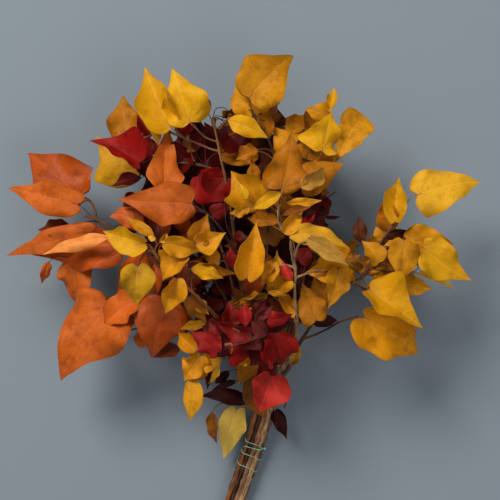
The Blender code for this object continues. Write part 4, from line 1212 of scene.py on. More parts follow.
@dataclass
class Stalk:
    """A leaf's stalk, which runs on under the blade as its midrib."""

    leaf: HungLeaf
    blade: Blade
    sides: int = 8
    root_radius: float = 0.72
    neck_radius: float = 0.44
    slimmest: float = 0.55
    slimming_length: float = 80.0
    rib_end_radius: float = 0.12
    rib_length: float = 0.86
    rib_steps: int = 9
    rib_gap: float = 0.2
    rib_sink: float = 0.8

    def build(self, skin: Skin) -> None:
        """Add the stalk to a skin.

        Args:
            skin: the skin that takes it.
        """
        pose = self.leaf.pose
        line = smooth(self.leaf.stalk[::-1], 3)
        small = min(1.0, self.slimmest + pose.length / self.slimming_length)
        flare = self.root_radius - self.neck_radius
        radii = [small * (self.neck_radius + flare * (1 - i / (len(line) - 1))**2) for i in range(len(line))]
        steps = np.arange(1, self.rib_steps + 1) / self.rib_steps
        still = np.zeros(self.rib_steps)
        rib = pose.surface(steps * self.rib_length, still, self.blade.crease)
        rib += self.blade.relief(steps * self.rib_length, still, steps)[:, None] * np.array(pose.normal)
        sunk = (self.neck_radius * (1 - steps) + self.rib_end_radius * steps) * small
        for point, radius in zip(rib, sunk):
            line.append(Vector(point) - pose.normal * (self.rib_gap + self.rib_sink * radius))
            radii.append(radius)
        rings = tube_rings(line, radii, self.sides)
        tone = linear(self.leaf.tone.value.stalk) * SMOOTH_WOOD
        add_tube(skin, rings, line, wood_tone=tone)


def add_tube(skin: Skin, rings: np.ndarray, line: Sequence[Vector], **marks: np.ndarray) -> None:
    """Add a closed tube to a skin, with marks that say where along and round it a point is.

    Args:
        skin: the skin that takes it.
        rings: its rings of points.
        line: its middle line.
        **marks: further marks for all its points.
    """
    count, sides, _ = rings.shape
    middle = np.array([tuple(point) for point in line])
    travel = np.append(0, np.cumsum(np.linalg.norm(np.diff(middle, axis=0), axis=1)))
    points = np.vstack((rings.reshape(-1, 3), middle[0], middle[-1]))
    faces = []
    for i in range(count - 1):
        for side in range(sides):
            low, next_low = i * sides + side, i * sides + (side + 1) % sides
            faces.append((low, next_low, next_low + sides, low + sides))
    first, last, top = count * sides, count * sides + 1, (count - 1) * sides
    for side in range(sides):
        faces.append((first, (side + 1) % sides, side))
        faces.append((last, top + side, top + (side + 1) % sides))
    spot = np.zeros((len(points), 4))
    turn = 2 * math.pi * np.arange(sides) / sides
    spot[:count * sides, 0] = np.tile(np.cos(turn), count)
    spot[:count * sides, 1] = np.tile(np.sin(turn), count)
    spot[:count * sides, 2] = np.repeat(travel, sides)
    spot[first, 2], spot[last, 2] = travel[0], travel[-1]
    spot[:, 3] = np.append(np.ones(count * sides), (0.0, 0.0))
    skin.add(points, faces, wood_place=spot, **marks)


@dataclass
class Bark:
    """The wood of one branch: furrowed round stems with swellings where stalks and twigs leave them.

    furrows: how many lie round the stem, how fast they turn along it, and how strong each set is
    """

    name: str
    wood: Wood
    leaves: list[HungLeaf]
    stem_sides: int = 14
    twig_sides: int = 10
    furrow: float = 0.17
    furrows: tuple[tuple[float, float, float], ...] = ((2, 0.11, 0.5), (3, -0.17, 0.6), (5, 0.23, 0.5),
                                                       (1, 0.45, 0.3))
    crook: float = 0.42
    crook_pace: tuple[float, float] = (0.10, 0.34)
    tied_crook: float = 0.3
    calm_steps: int = 6
    twig_taper: float = 0.35
    swelling: float = 0.38
    swelling_length: float = 2.6
    scar_pitch: tuple[float, float] = (14.0, 34.0)

    def radii(self, line: Sequence[Vector], number: int) -> list[float]:
        """Work out how thick a line of the wood is along its length.

        Args:
            line: its points.
            number: 0 for the stem, more for a twig.

        Returns:
            The radius at each point.
        """
        count = len(line)
        if number:
            return [TWIG_RADIUS * (1.0 - self.twig_taper * i / (count - 1)) for i in range(count)]
        tied = self.wood.tied_steps
        free = count - tied - 1
        thinner = STEM_TIP_RADIUS - STEM_RADIUS
        return [STEM_RADIUS + thinner * (max(0, i - tied) / free)**0.7 for i in range(count)]

    def scars(self, draw: random.Random) -> list[Vector]:
        """Spread the scars of lost leaves along the tied part of the stem.

        Args:
            draw: the branch's own draw.

        Returns:
            Their places.
        """
        line, found, gone = self.wood.fine[0][:self.wood.tied_steps], [], 0.0
        wanted = draw.uniform(*self.scar_pitch)
        for low, high in zip(line, line[1:]):
            gone += (high - low).length
            if gone > wanted:
                found.append(high)
                gone, wanted = 0.0, draw.uniform(*self.scar_pitch)
        return found

    def crooked(self, line: Sequence[Vector], draw: random.Random) -> list[Vector]:
        """Bend a line a little from side to side, as grown wood is.

        Args:
            line: its points.
            draw: the branch's own draw.

        Returns:
            The bent line, with both ends in place.
        """
        swings = [(draw.uniform(*self.crook_pace), draw.uniform(0, 2 * math.pi)) for _ in range(3)]
        bent = []
        for i, point in enumerate(line):
            calm = min(1.0, i / self.calm_steps, (len(line) - 1 - i) / self.calm_steps)
            if line is self.wood.fine[0] and i < self.wood.tied_steps:
                calm *= self.tied_crook
            swing = Vector([math.sin(pace * i + start) for pace, start in swings])
            bent.append(point + swing * (self.crook * calm))
        return bent

    def build(self, skin: Skin) -> None:
        """Add the wood to a skin.

        Args:
            skin: the skin that takes it.
        """
        draw = random.Random(self.name + " bark")
        joints = [leaf.stalk[-1] for leaf in self.leaves] + [line[0] for line in self.wood.fine[1:]]
        joints += self.scars(draw)
        # The darkest bark tones are partly painted shade of the gaps between the tied stems
        colour, stout = BARKS_AND_GAP_SHADE.get(self.name, BARK)
        tone = linear(colour)
        for number, line in enumerate(self.wood.fine):
            line = self.crooked(line, draw)
            radii = [radius * (1.0 if number else stout) for radius in self.radii(line, number)]
            for i, point in enumerate(line):
                near = min(((joint - point).length for joint in joints), default=math.inf)
                radii[i] *= 1 + self.swelling * math.exp(-(near / self.swelling_length)**2)
            sides = self.twig_sides if number else self.stem_sides
            rings = tube_rings(line, radii, sides)
            middle = np.array([tuple(point) for point in line])[:, None, :]
            turn = 2 * math.pi * np.arange(sides) / sides
            step = np.arange(len(line))[:, None]
            waves = sum(np.sin(count * turn + pace * step + draw.uniform(0, 6)) * part
                        for count, pace, part in self.furrows)
            rings = middle + (rings - middle) * (1 + self.furrow * waves)[..., None]
            add_tube(skin, rings, line, wood_tone=tone)


@dataclass(frozen=True)
class StringTie:
    """The string's turns round the tied stems, the end that comes back, and the knot.

    Angles are parts of half a turn, and sizes are in millimetres.
    """

    first_angle: float = 1.02
    lane_steps: int = 8
    end_steps: int = 8
    end_angle: float = 0.14
    end_sweep: float = 0.70
    end_slide: float = 5.6
    end_slant: float = 3.4
    ply_offset: float = 0.22
    ply_radius: float = 0.26
    ply_pitch: float = 2.6
    ply_step: float = 0.55
    ply_sides: int = 6
    smoothing: int = 6
    knot_loops: float = 3.5
    knot_steps: int = 10
    knot_radius: float = 1.15
    knot_swell: float = 0.25
    knot_swell_pace: float = 0.37
    knot_proud: float = 0.5
    knot_depth: float = 0.9
    knot_flatness: float = 0.6
    knot_tangle: float = 1.3
    colour: str = "#A2E6BC"

    def lines(self) -> tuple[list[Vector], list[Vector]]:
        """Draw the string's two lines, as the frame's source does.

        Returns:
            The winding, and the end that comes back.
        """
        lanes = [subdivide(bundle_lane(name), self.lane_steps) for row in LANE_ROWS for name in row]
        middle = subdivide([place(*point) for point in BUNDLE], self.lane_steps)
        offset = STEM_RADIUS + STRING_GAP + STRING_RADIUS
        start = place(FRAME_MIDDLE, STRING_START, 0).y

        def turn_point(angle: float, down: float) -> Vector:
            """Find the string's place at an angle round the stems.

            Args:
                angle: the angle.
                down: how far along the stems it lies.

            Returns:
                The place in millimetres.
            """
            index = min(range(len(middle)), key=lambda k: abs(middle[k].y - down))
            ahead = (middle[index - 1] - middle[index + 1]).normalized()
            across = Vector((-ahead.y, ahead.x, 0)).normalized()
            upward = across.cross(ahead)
            if upward.z < 0:
                upward.negate()
            spoke = across * math.cos(angle) + upward * math.sin(angle)
            stems = [lane[index] for lane in lanes]
            outer = max(stems, key=lambda stem: (stem - middle[index]).dot(spoke))
            slide = ahead * ((middle[index].y - down) / -ahead.y)
            return outer + spoke * offset + slide

        winding = []
        for step in range(STRING_TURNS * STRING_STEPS + 1):
            turn = step / STRING_STEPS
            winding.append(turn_point(math.pi * (self.first_angle - 2 * turn), start - turn * STRING_PITCH))
        end = []
        for step in range(self.end_steps + 1):
            part = step / self.end_steps
            end.append(turn_point(math.pi * (self.end_angle + self.end_sweep * part),
                                  start - (self.end_slide + self.end_slant * part)))
        return winding, end

    def shift(self) -> Vector:
        """Find how far the frame was moved onto the origin, from the low corner of the turns.

        Returns:
            The move in millimetres, level.
        """
        winding, end = self.lines()
        rings = np.concatenate([tube_rings(line, [STRING_RADIUS] * len(line), STRING_SIDES).reshape(-1, 3)
                                for line in (winding, end)])
        low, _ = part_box("tie_string")
        own = rings.min(0)
        return Vector((own[0] - low.x / MM, own[1] - low.y / MM, 0))

    def twist(self, skin: Skin, line: Sequence[Vector], tone: np.ndarray) -> None:
        """Lay two plies along a line, each winding round it.

        Args:
            skin: the skin that takes them.
            line: the string's middle line.
            tone: its colour.
        """
        fine = smooth(line, self.smoothing)
        middle = np.array([tuple(point) for point in fine])
        travel = np.append(0, np.cumsum(np.linalg.norm(np.diff(middle, axis=0), axis=1)))
        steps = int(travel[-1] / self.ply_step)
        stops = np.linspace(0, travel[-1], steps)
        even = [Vector([np.interp(stop, travel, middle[:, k]) for k in range(3)]) for stop in stops]
        spokes = tube_rings(even, [1.0] * steps, 4)
        for ply in (0, 1):
            course = []
            for i, stop in enumerate(stops):
                angle = 2 * math.pi * stop / self.ply_pitch + math.pi * ply
                one, two = Vector(spokes[i, 0]) - even[i], Vector(spokes[i, 1]) - even[i]
                course.append(even[i] + (one * math.cos(angle) + two * math.sin(angle)) * self.ply_offset)
            rings = tube_rings(course, [self.ply_radius] * steps, self.ply_sides)
            add_tube(skin, rings, course, wood_tone=tone)

    def build(self, skin: Skin) -> None:
        """Add the string to a skin.

        Args:
            skin: the skin that takes it.
        """
        tone = linear(self.colour)
        winding, end = self.lines()
        self.twist(skin, winding, tone)
        self.twist(skin, end, tone)
        out = (end[0] - place(*BUNDLE[4])).normalized()
        side = out.cross(Vector((0, 1, 0))).normalized()
        rise = out.cross(side)
        loops = []
        for step in range(int(self.knot_loops * self.knot_steps) + 1):
            turn = 2 * math.pi * step / self.knot_steps
            swell = 1 - self.knot_swell + self.knot_swell * math.sin(turn * self.knot_swell_pace)
            bulge = side * math.cos(turn) + rise * self.knot_flatness * math.sin(turn * self.knot_tangle)
            loops.append(end[0] + out * (self.knot_proud + self.knot_depth * math.sin(turn))
                         + bulge * (self.knot_radius * swell))
        self.twist(skin, loops, tone)


def add_node(tree: bpy.types.NodeTree, kind: str, *inputs: object, **settings: object) -> bpy.types.Node:
    """Add a node with its settings and links.

    Args:
        tree: the node tree that takes it.
        kind: the node's type after ShaderNode, and after a space its operation.
        *inputs: what its inputs take in order: a number, the socket or node that feeds one, or nothing.
        **settings: the same for an input by its name, or the value of a property.

    Returns:
        The node.
    """
    kind, _, operation = kind.partition(" ")
    node = tree.nodes.new("ShaderNode" + kind)
    if operation:
        node.operation = operation
    for key, value in (*settings.items(), *enumerate(inputs)):
        if isinstance(value, bpy.types.Node):
            value = value.outputs[0]
        if isinstance(key, str) and hasattr(node, key):
            setattr(node, key, value)
        elif isinstance(value, bpy.types.NodeSocket):
            tree.links.new(value, node.inputs[key])
        elif value is not None:
            node.inputs[key].default_value = value
    return node


def blank_material(name: str) -> tuple[bpy.types.Material, Callable[..., bpy.types.Node], bpy.types.Node]:
    """Start a material.

    Args:
        name: its name.

    Returns:
        The material, add_node for its node tree, and its shader.
    """
    finish = bpy.data.materials.new(name)
    finish.use_nodes = True
    tree = finish.node_tree
    return finish, partial(add_node, tree), tree.nodes["Principled BSDF"]


def feed(shader: bpy.types.Node, numbers: dict[str, float], sockets: dict[str, bpy.types.Node]) -> None:
    """Set and link a shader's inputs.

    Args:
        shader: the shader.
        numbers: the values that are the same all over, by input name.
        sockets: what feeds the other inputs.
    """
    for name, value in numbers.items():
        shader.inputs[name].default_value = value
    for name, source in sockets.items():
        source = source.outputs[0] if isinstance(source, bpy.types.Node) else source
        shader.id_data.links.new(source, shader.inputs[name])


@dataclass(frozen=True)
class PreservedIvyLeaf:
    """Ivy leaf preserved in glycerine and dyed: supple and slightly waxy, with pale veins and dark freckles.

    The eye sees a soft sheen on the upper side, a matte paler lower side, and blotches where the dye ran
    thin. Real side veins are about 0.3 mm wide with a net of 0.8 mm between them, and are drawn about 0.8 mm
    wide with a net of 1.9 mm, so that they show. A width here is half of one. Sizes are in millimetres.
    """

    name: str
    shine: float
    ior: float = 1.45
    vein_width: float = 0.38
    midrib_width: float = 0.57
    vein_spread: float = math.radians(34)
    side_vein_pitch: float = 7.5
    side_vein_lean: float = 0.9
    vein_end: float = 1.15
    palmate_strength: float = 0.8
    feather_strength: float = 0.5
    vein_paleness: float = 0.45
    vein_lift: float = 1.42
    under_lift: float = 1.04
    fading: float = 0.92
    blotch_size: float = 11.0
    blotch_start: float = 0.46
    blotch_contrast: float = 4.2
    rim_start: float = 0.90
    rim_contrast: float = 8.0
    grain_size: float = 0.8
    grain_lift: tuple[float, float] = (0.89, 1.11)
    freckle_size: float = 2.6
    freckle_radius: float = 0.20
    freckle_colour: str = "#AD8B6F"
    net_size: float = 1.9
    heel_reach: float = 13.0
    heel_darkness: float = 0.7
    darkest: float = 0.62
    dullest: float = 0.68
    polish: float = 0.52
    crinkle_depth: float = 0.55
    net_relief: float = 1.1
    blotch_relief: float = 1.2
    grain_relief: float = 0.5
    vein_relief: float = -0.25

    def make(self) -> bpy.types.Material:
        """Make the material.

        Returns:
            The material.
        """
        finish, node, shader = blank_material(self.name)
        spot = node("Attribute", attribute_name="blade_place")
        facts = node("Attribute", attribute_name="blade_facts")
        face = node("Attribute", attribute_name="face_tone")
        shade = node("Attribute", attribute_name="shade_tone")
        along, across, number = node("SeparateXYZ", spot.outputs["Vector"]).outputs
        out = spot.outputs["Alpha"]
        upper, gloss, _ = node("SeparateXYZ", facts.outputs["Vector"]).outputs

        # The midrib, the main veins that fan out from the stalk, and the side veins that lean forward
        wide = node("Math ABSOLUTE", across)
        away = node("Math SQRT", node("Math ADD", node("Math MULTIPLY", along, along),
                                      node("Math MULTIPLY", across, across)))
        angle = node("Math ARCTAN2", across, along)
        main_gap = node("Math MULTIPLY", node("Math PINGPONG", angle, self.vein_spread / 2), away)
        forward = node("Math SUBTRACT", along, node("Math MULTIPLY", wide, self.side_vein_lean))
        side_gap = node("Math PINGPONG", forward, self.side_vein_pitch / 2)
        main_width = node("Math MULTIPLY", node("Math SUBTRACT", self.vein_end, out, use_clamp=True),
                          self.vein_width)
        midrib = node("Math SUBTRACT", 1.0, node("Math DIVIDE", wide, self.midrib_width), use_clamp=True)
        palmate = node("Math SUBTRACT", 1.0, node("Math DIVIDE", main_gap, main_width), use_clamp=True)
        feather = node("Math SUBTRACT", 1.0, node("Math DIVIDE", side_gap, self.vein_width), use_clamp=True)
        veins = node("Math MAXIMUM", midrib, node(
            "Math MAXIMUM", node("Math MULTIPLY", palmate, self.palmate_strength),
            node("Math MULTIPLY", feather, self.feather_strength)))

        # Each leaf has its own stretch of the patterns, because its number stands for the third direction
        flat_place = node("CombineXYZ", along, across, number)
        blotch = node("TexNoise", flat_place, Scale=1 / self.blotch_size, Detail=5.0, Roughness=0.62)
        grain = node("TexNoise", flat_place, Scale=1 / self.grain_size, Detail=3.0)
        freckle = node("TexVoronoi", flat_place, Scale=1 / self.freckle_size)
        net = node("TexVoronoi", flat_place, Scale=1 / self.net_size, feature="DISTANCE_TO_EDGE")

        # Blotches, the rim and the heel beside the stalk are darker, and dark freckles lie in the blotches;
        # the heel's darkening is partly the leaf's own colour, partly painted shade where the blade meets its
        # stalk
        worn = node("Math MULTIPLY", node("Math SUBTRACT", blotch, self.blotch_start), self.blotch_contrast,
                    use_clamp=True)
        edge = node("Math MULTIPLY", node("Math SUBTRACT", out, self.rim_start), self.rim_contrast,
                    use_clamp=True)
        edge = node("Math MULTIPLY", edge, node("Math ADD", 0.25, blotch))
        heel = node("Math MULTIPLY", node("Math SUBTRACT", 1.0, node("Math DIVIDE", away, self.heel_reach),
                                          use_clamp=True), self.heel_darkness)
        dark = node("Math MULTIPLY", node("Math MAXIMUM", heel, node("Math MAXIMUM", worn, edge)),
                    self.darkest)
        colour = node("Mix", dark, *MIX_GAP, face, shade, data_type="RGBA").outputs[MIX_RESULT]
        dots = node("Math MULTIPLY", node("Math SUBTRACT", self.freckle_radius, freckle, use_clamp=True),
                    5.0, use_clamp=True)
        dots = node("Math MULTIPLY", dots, node("Math MULTIPLY", node("Math SUBTRACT", blotch, 0.50), 5.0,
                                                use_clamp=True))
        colour = node("Mix", dots, *MIX_GAP, colour, tuple(linear(self.freckle_colour)), data_type="RGBA",
                      blend_type="MULTIPLY").outputs[MIX_RESULT]
        pale = node("HueSaturation", Saturation=self.fading, Value=self.vein_lift, Color=colour)
        colour = node("Mix", node("Math MULTIPLY", veins, self.vein_paleness), *MIX_GAP, colour, pale,
                      data_type="RGBA").outputs[MIX_RESULT]
        under = node("HueSaturation", Saturation=self.fading, Value=self.under_lift, Color=colour)
        colour = node("Mix", upper, *MIX_GAP, under, colour, data_type="RGBA").outputs[MIX_RESULT]
        lift = node("MapRange", grain, 0.32, 0.68, *self.grain_lift)
        colour = node("HueSaturation", Value=lift, Color=colour)

        # The wax shines most on the upper side, and the veins, the net between them and crinkles stand out
        shine = node("Math MULTIPLY", gloss, node("Math ADD", node("Math MULTIPLY", upper, 0.7), 0.3))
        rough = node("Math SUBTRACT", self.dullest, node("Math MULTIPLY", shine, self.polish))
        rough = node("Math ADD", rough, node("Math MULTIPLY", node("Math SUBTRACT", grain, 0.5), 0.18),
                     use_clamp=True)
        height = node("Math ADD", node("Math MULTIPLY", veins, self.vein_relief),
                      node("Math MULTIPLY", node("Math MINIMUM", net, 0.25), self.net_relief))
        height = node("Math ADD", height, node("Math ADD", node("Math MULTIPLY", blotch, self.blotch_relief),
                                               node("Math MULTIPLY", grain, self.grain_relief)))
        crinkle = node("Math ADD", node("Math MULTIPLY", gloss, 0.55), 0.45)
        bump = node("Bump", Distance=self.crinkle_depth * MM, Height=height, Strength=crinkle)
        feed(shader, {"IOR": self.ior, "Specular IOR Level": self.shine},
             {"Base Color": colour, "Roughness": rough, "Normal": bump})
        return finish


@dataclass(frozen=True)
class IvyBark:
    """Bark of a young ivy stem, dried: thin, wrinkled along the stem, with dark pores.

    The eye sees fine streaks that run along the stem, a dull surface, and pale wood at a cut end. The streaks
    are partly the bark's own colour, partly painted highlight on their pale ridges and painted shade in their
    furrows.
    Real streaks are about 0.4 mm apart, and are drawn 1.3 mm apart so that they show.
    """

    name: str
    ior: float = 1.5
    roughness: float = 0.62
    streak_pitch: float = 1.3
    streak_run: float = 0.12
    streak_light_and_shade: tuple[float, float] = (0.10, 1.80)
    weathering: tuple[float, float, float] = (0.5, 0.5, 0.035)
    furrow_depth: float = 0.6
    pore_strength: float = 0.8
    pore_colour: str = "#3C2012"
    cut_wood: str = "#C8A878"

    def make(self) -> bpy.types.Material:
        """Make the material.

        Returns:
            The material.
        """
        finish, node, shader = blank_material(self.name)
        spot = node("Attribute", attribute_name="wood_place")
        tone = node("Attribute", attribute_name="wood_tone")
        streaked = tone.outputs["Alpha"]
        across = STEM_RADIUS / self.streak_pitch
        stretched = node("Mapping", spot.outputs["Vector"], Scale=(across, across, self.streak_run))
        streaks = node("TexNoise", stretched, Scale=1.0, Detail=7.0, Roughness=0.72)
        pores = node("TexVoronoi", stretched, Scale=0.9)
        patches = node("Mapping", spot.outputs["Vector"], Scale=self.weathering)
        weather = node("TexNoise", patches, Scale=1.0, Detail=3.0)
        # Pale ridges and dark furrows: partly the bark's streaked colour, partly painted highlight and
        # painted shade
        ramp = node("MapRange", node("Math ADD", streaks, weather), 0.80, 1.22, *self.streak_light_and_shade)
        ramp = node("Mix", streaked, None, 1.0, ramp, data_type="FLOAT")
        colour = node("HueSaturation", Value=ramp, Color=tone)
        pore = node("Math MULTIPLY", node("MapRange", pores, 0.34, 0.12, 0.0, self.pore_strength), streaked)
        colour = node("Mix", pore, *MIX_GAP, colour, tuple(linear(self.pore_colour)),
                      data_type="RGBA").outputs[MIX_RESULT]
        colour = node("Mix", spot.outputs["Alpha"], *MIX_GAP, tuple(linear(self.cut_wood)), colour,
                      data_type="RGBA").outputs[MIX_RESULT]
        bump = node("Bump", Strength=0.9, Distance=self.furrow_depth * MM, Height=streaks)
        feed(shader, {"Roughness": self.roughness, "IOR": self.ior}, {"Base Color": colour, "Normal": bump})
        return finish


@dataclass(frozen=True)
class WaxedThread:
    """Twisted cotton thread, dyed pale green and waxed: two plies with fine fibres along them.

    The eye sees a pale green line with a faint sheen, and grey places where the dye has rubbed off.
    Real fibres are about 0.02 mm thick, and are drawn 0.25 mm apart so that they show.
    """

    name: str
    ior: float = 1.53
    roughness: float = 0.5
    fibre_pitch: float = 0.25
    fibre_run: float = 0.4
    fibre_depth: float = 0.1
    shade_scale: float = 0.12
    rubbed: str = "#8C9490"

    def make(self) -> bpy.types.Material:
        """Make the material.

        Returns:
            The material.
        """
        finish, node, shader = blank_material(self.name)
        spot = node("Attribute", attribute_name="wood_place").outputs["Vector"]
        tone = node("Attribute", attribute_name="wood_tone")
        across = 1 / self.fibre_pitch
        stretched = node("Mapping", spot, Scale=(across, across, self.fibre_run))
        fibres = node("TexNoise", stretched, Scale=1.0, Detail=3.0)
        shades = node("TexNoise", spot, Scale=self.shade_scale)
        value = node("MapRange", fibres, 0.3, 0.7, 0.7, 1.2)
        colour = node("HueSaturation", Value=value, Color=tone)
        dull = node("MapRange", shades, 0.45, 0.6, 0.0, 0.7)
        colour = node("Mix", dull, *MIX_GAP, colour, tuple(linear(self.rubbed)),
                      data_type="RGBA").outputs[MIX_RESULT]
        bump = node("Bump", Strength=0.5, Distance=self.fibre_depth * MM, Height=fibres)
        feed(shader, {"Roughness": self.roughness, "IOR": self.ior}, {"Base Color": colour, "Normal": bump})
        return finish


@dataclass(frozen=True)
class PaintedBoard:
    """Board painted pale blue-grey with a roller, the floor: matte, with hardly any texture."""

    name: str = "painted_board"
    colour: str = "#87939E"
    roughness: float = 0.9
    roller_pitch: float = 2.0
    roller_depth: float = 0.2

    def make(self) -> bpy.types.Material:
        """Make the material.

        Returns:
            The material.
        """
        finish, node, shader = blank_material(self.name)
        where = node("TexCoord").outputs["Object"]
        rolled = node("TexNoise", where, Scale=1 / (self.roller_pitch * MM), Detail=2.0)
        bump = node("Bump", Strength=0.05, Distance=self.roller_depth * MM, Height=rolled)
        feed(shader, {"Base Color": tuple(linear(self.colour)), "Roughness": self.roughness},
             {"Normal": bump})
        return finish


@dataclass
class Studio:
    """The floor, the soft lights and the camera straight above, with sizes in metres.

    The key is like a broad window at the upper left, and the fill lifts the shadows from the lower right.
    """

    middle: Vector
    floor_size: float = 6.0
    aim: Vector = Vector((0, 0, 0.08))
    key_at: Vector = Vector((-1.15, 1.70, 2.40))
    key_size: float = 1.3
    key_power: float = 81.0
    key_colour: str = "#FFFAF2"
    fill_at: Vector = Vector((0.9, -0.8, 2.4))
    fill_size: float = 1.4
    fill_power: float = 12.0
    fill_colour: str = "#F8F8FC"
    sky_colour: str = "#ECEDEE"
    sky_strength: float = 0.25
    sensor: float = 36.0
    lens: float = 115.2

    def floor(self) -> None:
        """Lay the floor."""
        half = self.floor_size / 2
        mesh = bpy.data.meshes.new("floor")
        corners = [(-half, -half, 0), (half, -half, 0), (half, half, 0), (-half, half, 0)]
        mesh.from_pydata(corners, [], [(0, 1, 2, 3)])
        mesh.materials.append(PaintedBoard().make())
        floor = bpy.data.objects.new("floor", mesh)
        bpy.context.scene.collection.objects.link(floor)

    def light(self, name: str, at: Vector, size: float, power: float, colour: str) -> None:
        """Hang a square soft light that faces the bunch.

        Args:
            name: its name.
            at: where it hangs.
            size: the length of its side.
            power: its power in watts.
            colour: its colour.
        """
        lamp = bpy.data.lights.new(name, "AREA")
        lamp.shape, lamp.size, lamp.energy = "SQUARE", size, power
        lamp.color = linear(colour)[:3]
        item = bpy.data.objects.new(name, lamp)
        item.location = at
        item.rotation_euler = (self.aim - at).to_track_quat("-Z", "Y").to_euler()
        bpy.context.scene.collection.objects.link(item)

    def camera(self) -> None:
        """Set the camera straight above the frame's middle."""
        lens = bpy.data.cameras.new("camera")
        lens.sensor_width, lens.lens = self.sensor, self.lens
        item = bpy.data.objects.new("camera", lens)
        item.location = self.middle + EYE * MM
        bpy.context.scene.collection.objects.link(item)
        bpy.context.scene.camera = item

    def sky(self) -> None:
        """Fill the room with soft light."""
        world = bpy.data.worlds.new("room")
        world.use_nodes = True
        background = world.node_tree.nodes["Background"]
        background.inputs["Color"].default_value = tuple(linear(self.sky_colour))
        background.inputs["Strength"].default_value = self.sky_strength
        bpy.context.scene.world = world

    def colours(self) -> None:
        """Show colours as the lit surfaces have them, as the photograph does."""
        bpy.context.scene.view_settings.view_transform = "Standard"

    def build(self) -> None:
        """Set up the whole studio."""
        self.colours()
        self.floor()
        self.light("key", self.key_at, self.key_size, self.key_power, self.key_colour)
        self.light("fill", self.fill_at, self.fill_size, self.fill_power, self.fill_colour)
        self.sky()
        self.camera()


class LeafyBranch:
    """One branch of the bunch: its foliage and its wood."""

    def __init__(self, name: str, plan: BranchPlan, shift: Vector) -> None:
        """Find the branch's leaves in the frame.

        Args:
            name: the branch's name.
            plan: its places.
            shift: how far the frame was moved onto the origin, in millimetres.
        """
        self.name, self.shift = name, shift
        self.hue = name.split("_")[0]
        self.wood = Wood(name, plan)
        self.leaves = list(LeafFinder(name, plan, self.wood, FrameNode(name, shift)).leaves())

    def build(self, leaf_finish: bpy.types.Material, bark_finish: bpy.types.Material) -> None:
        """Make the branch's two pieces.

        Args:
            leaf_finish: the finish of its leaves.
            bark_finish: the finish of its wood.
        """
        slot = SLOTS[self.hue]
        foliage, wood = Skin(), Skin()
        for leaf in self.leaves:
            blade = Blade(leaf, BREADTHS.get(leaf.pose.seed, BREADTHS.get(self.name, BREADTH)))
            blade.build(foliage)
            Stalk(leaf, blade).build(wood)
        Bark(self.name, self.wood, self.leaves).build(wood)
        foliage.piece(self.name + "_foliage", leaf_finish, self.shift, self.name, slot)
        wood.piece(self.name + "_wood", bark_finish, self.shift, self.name, slot)


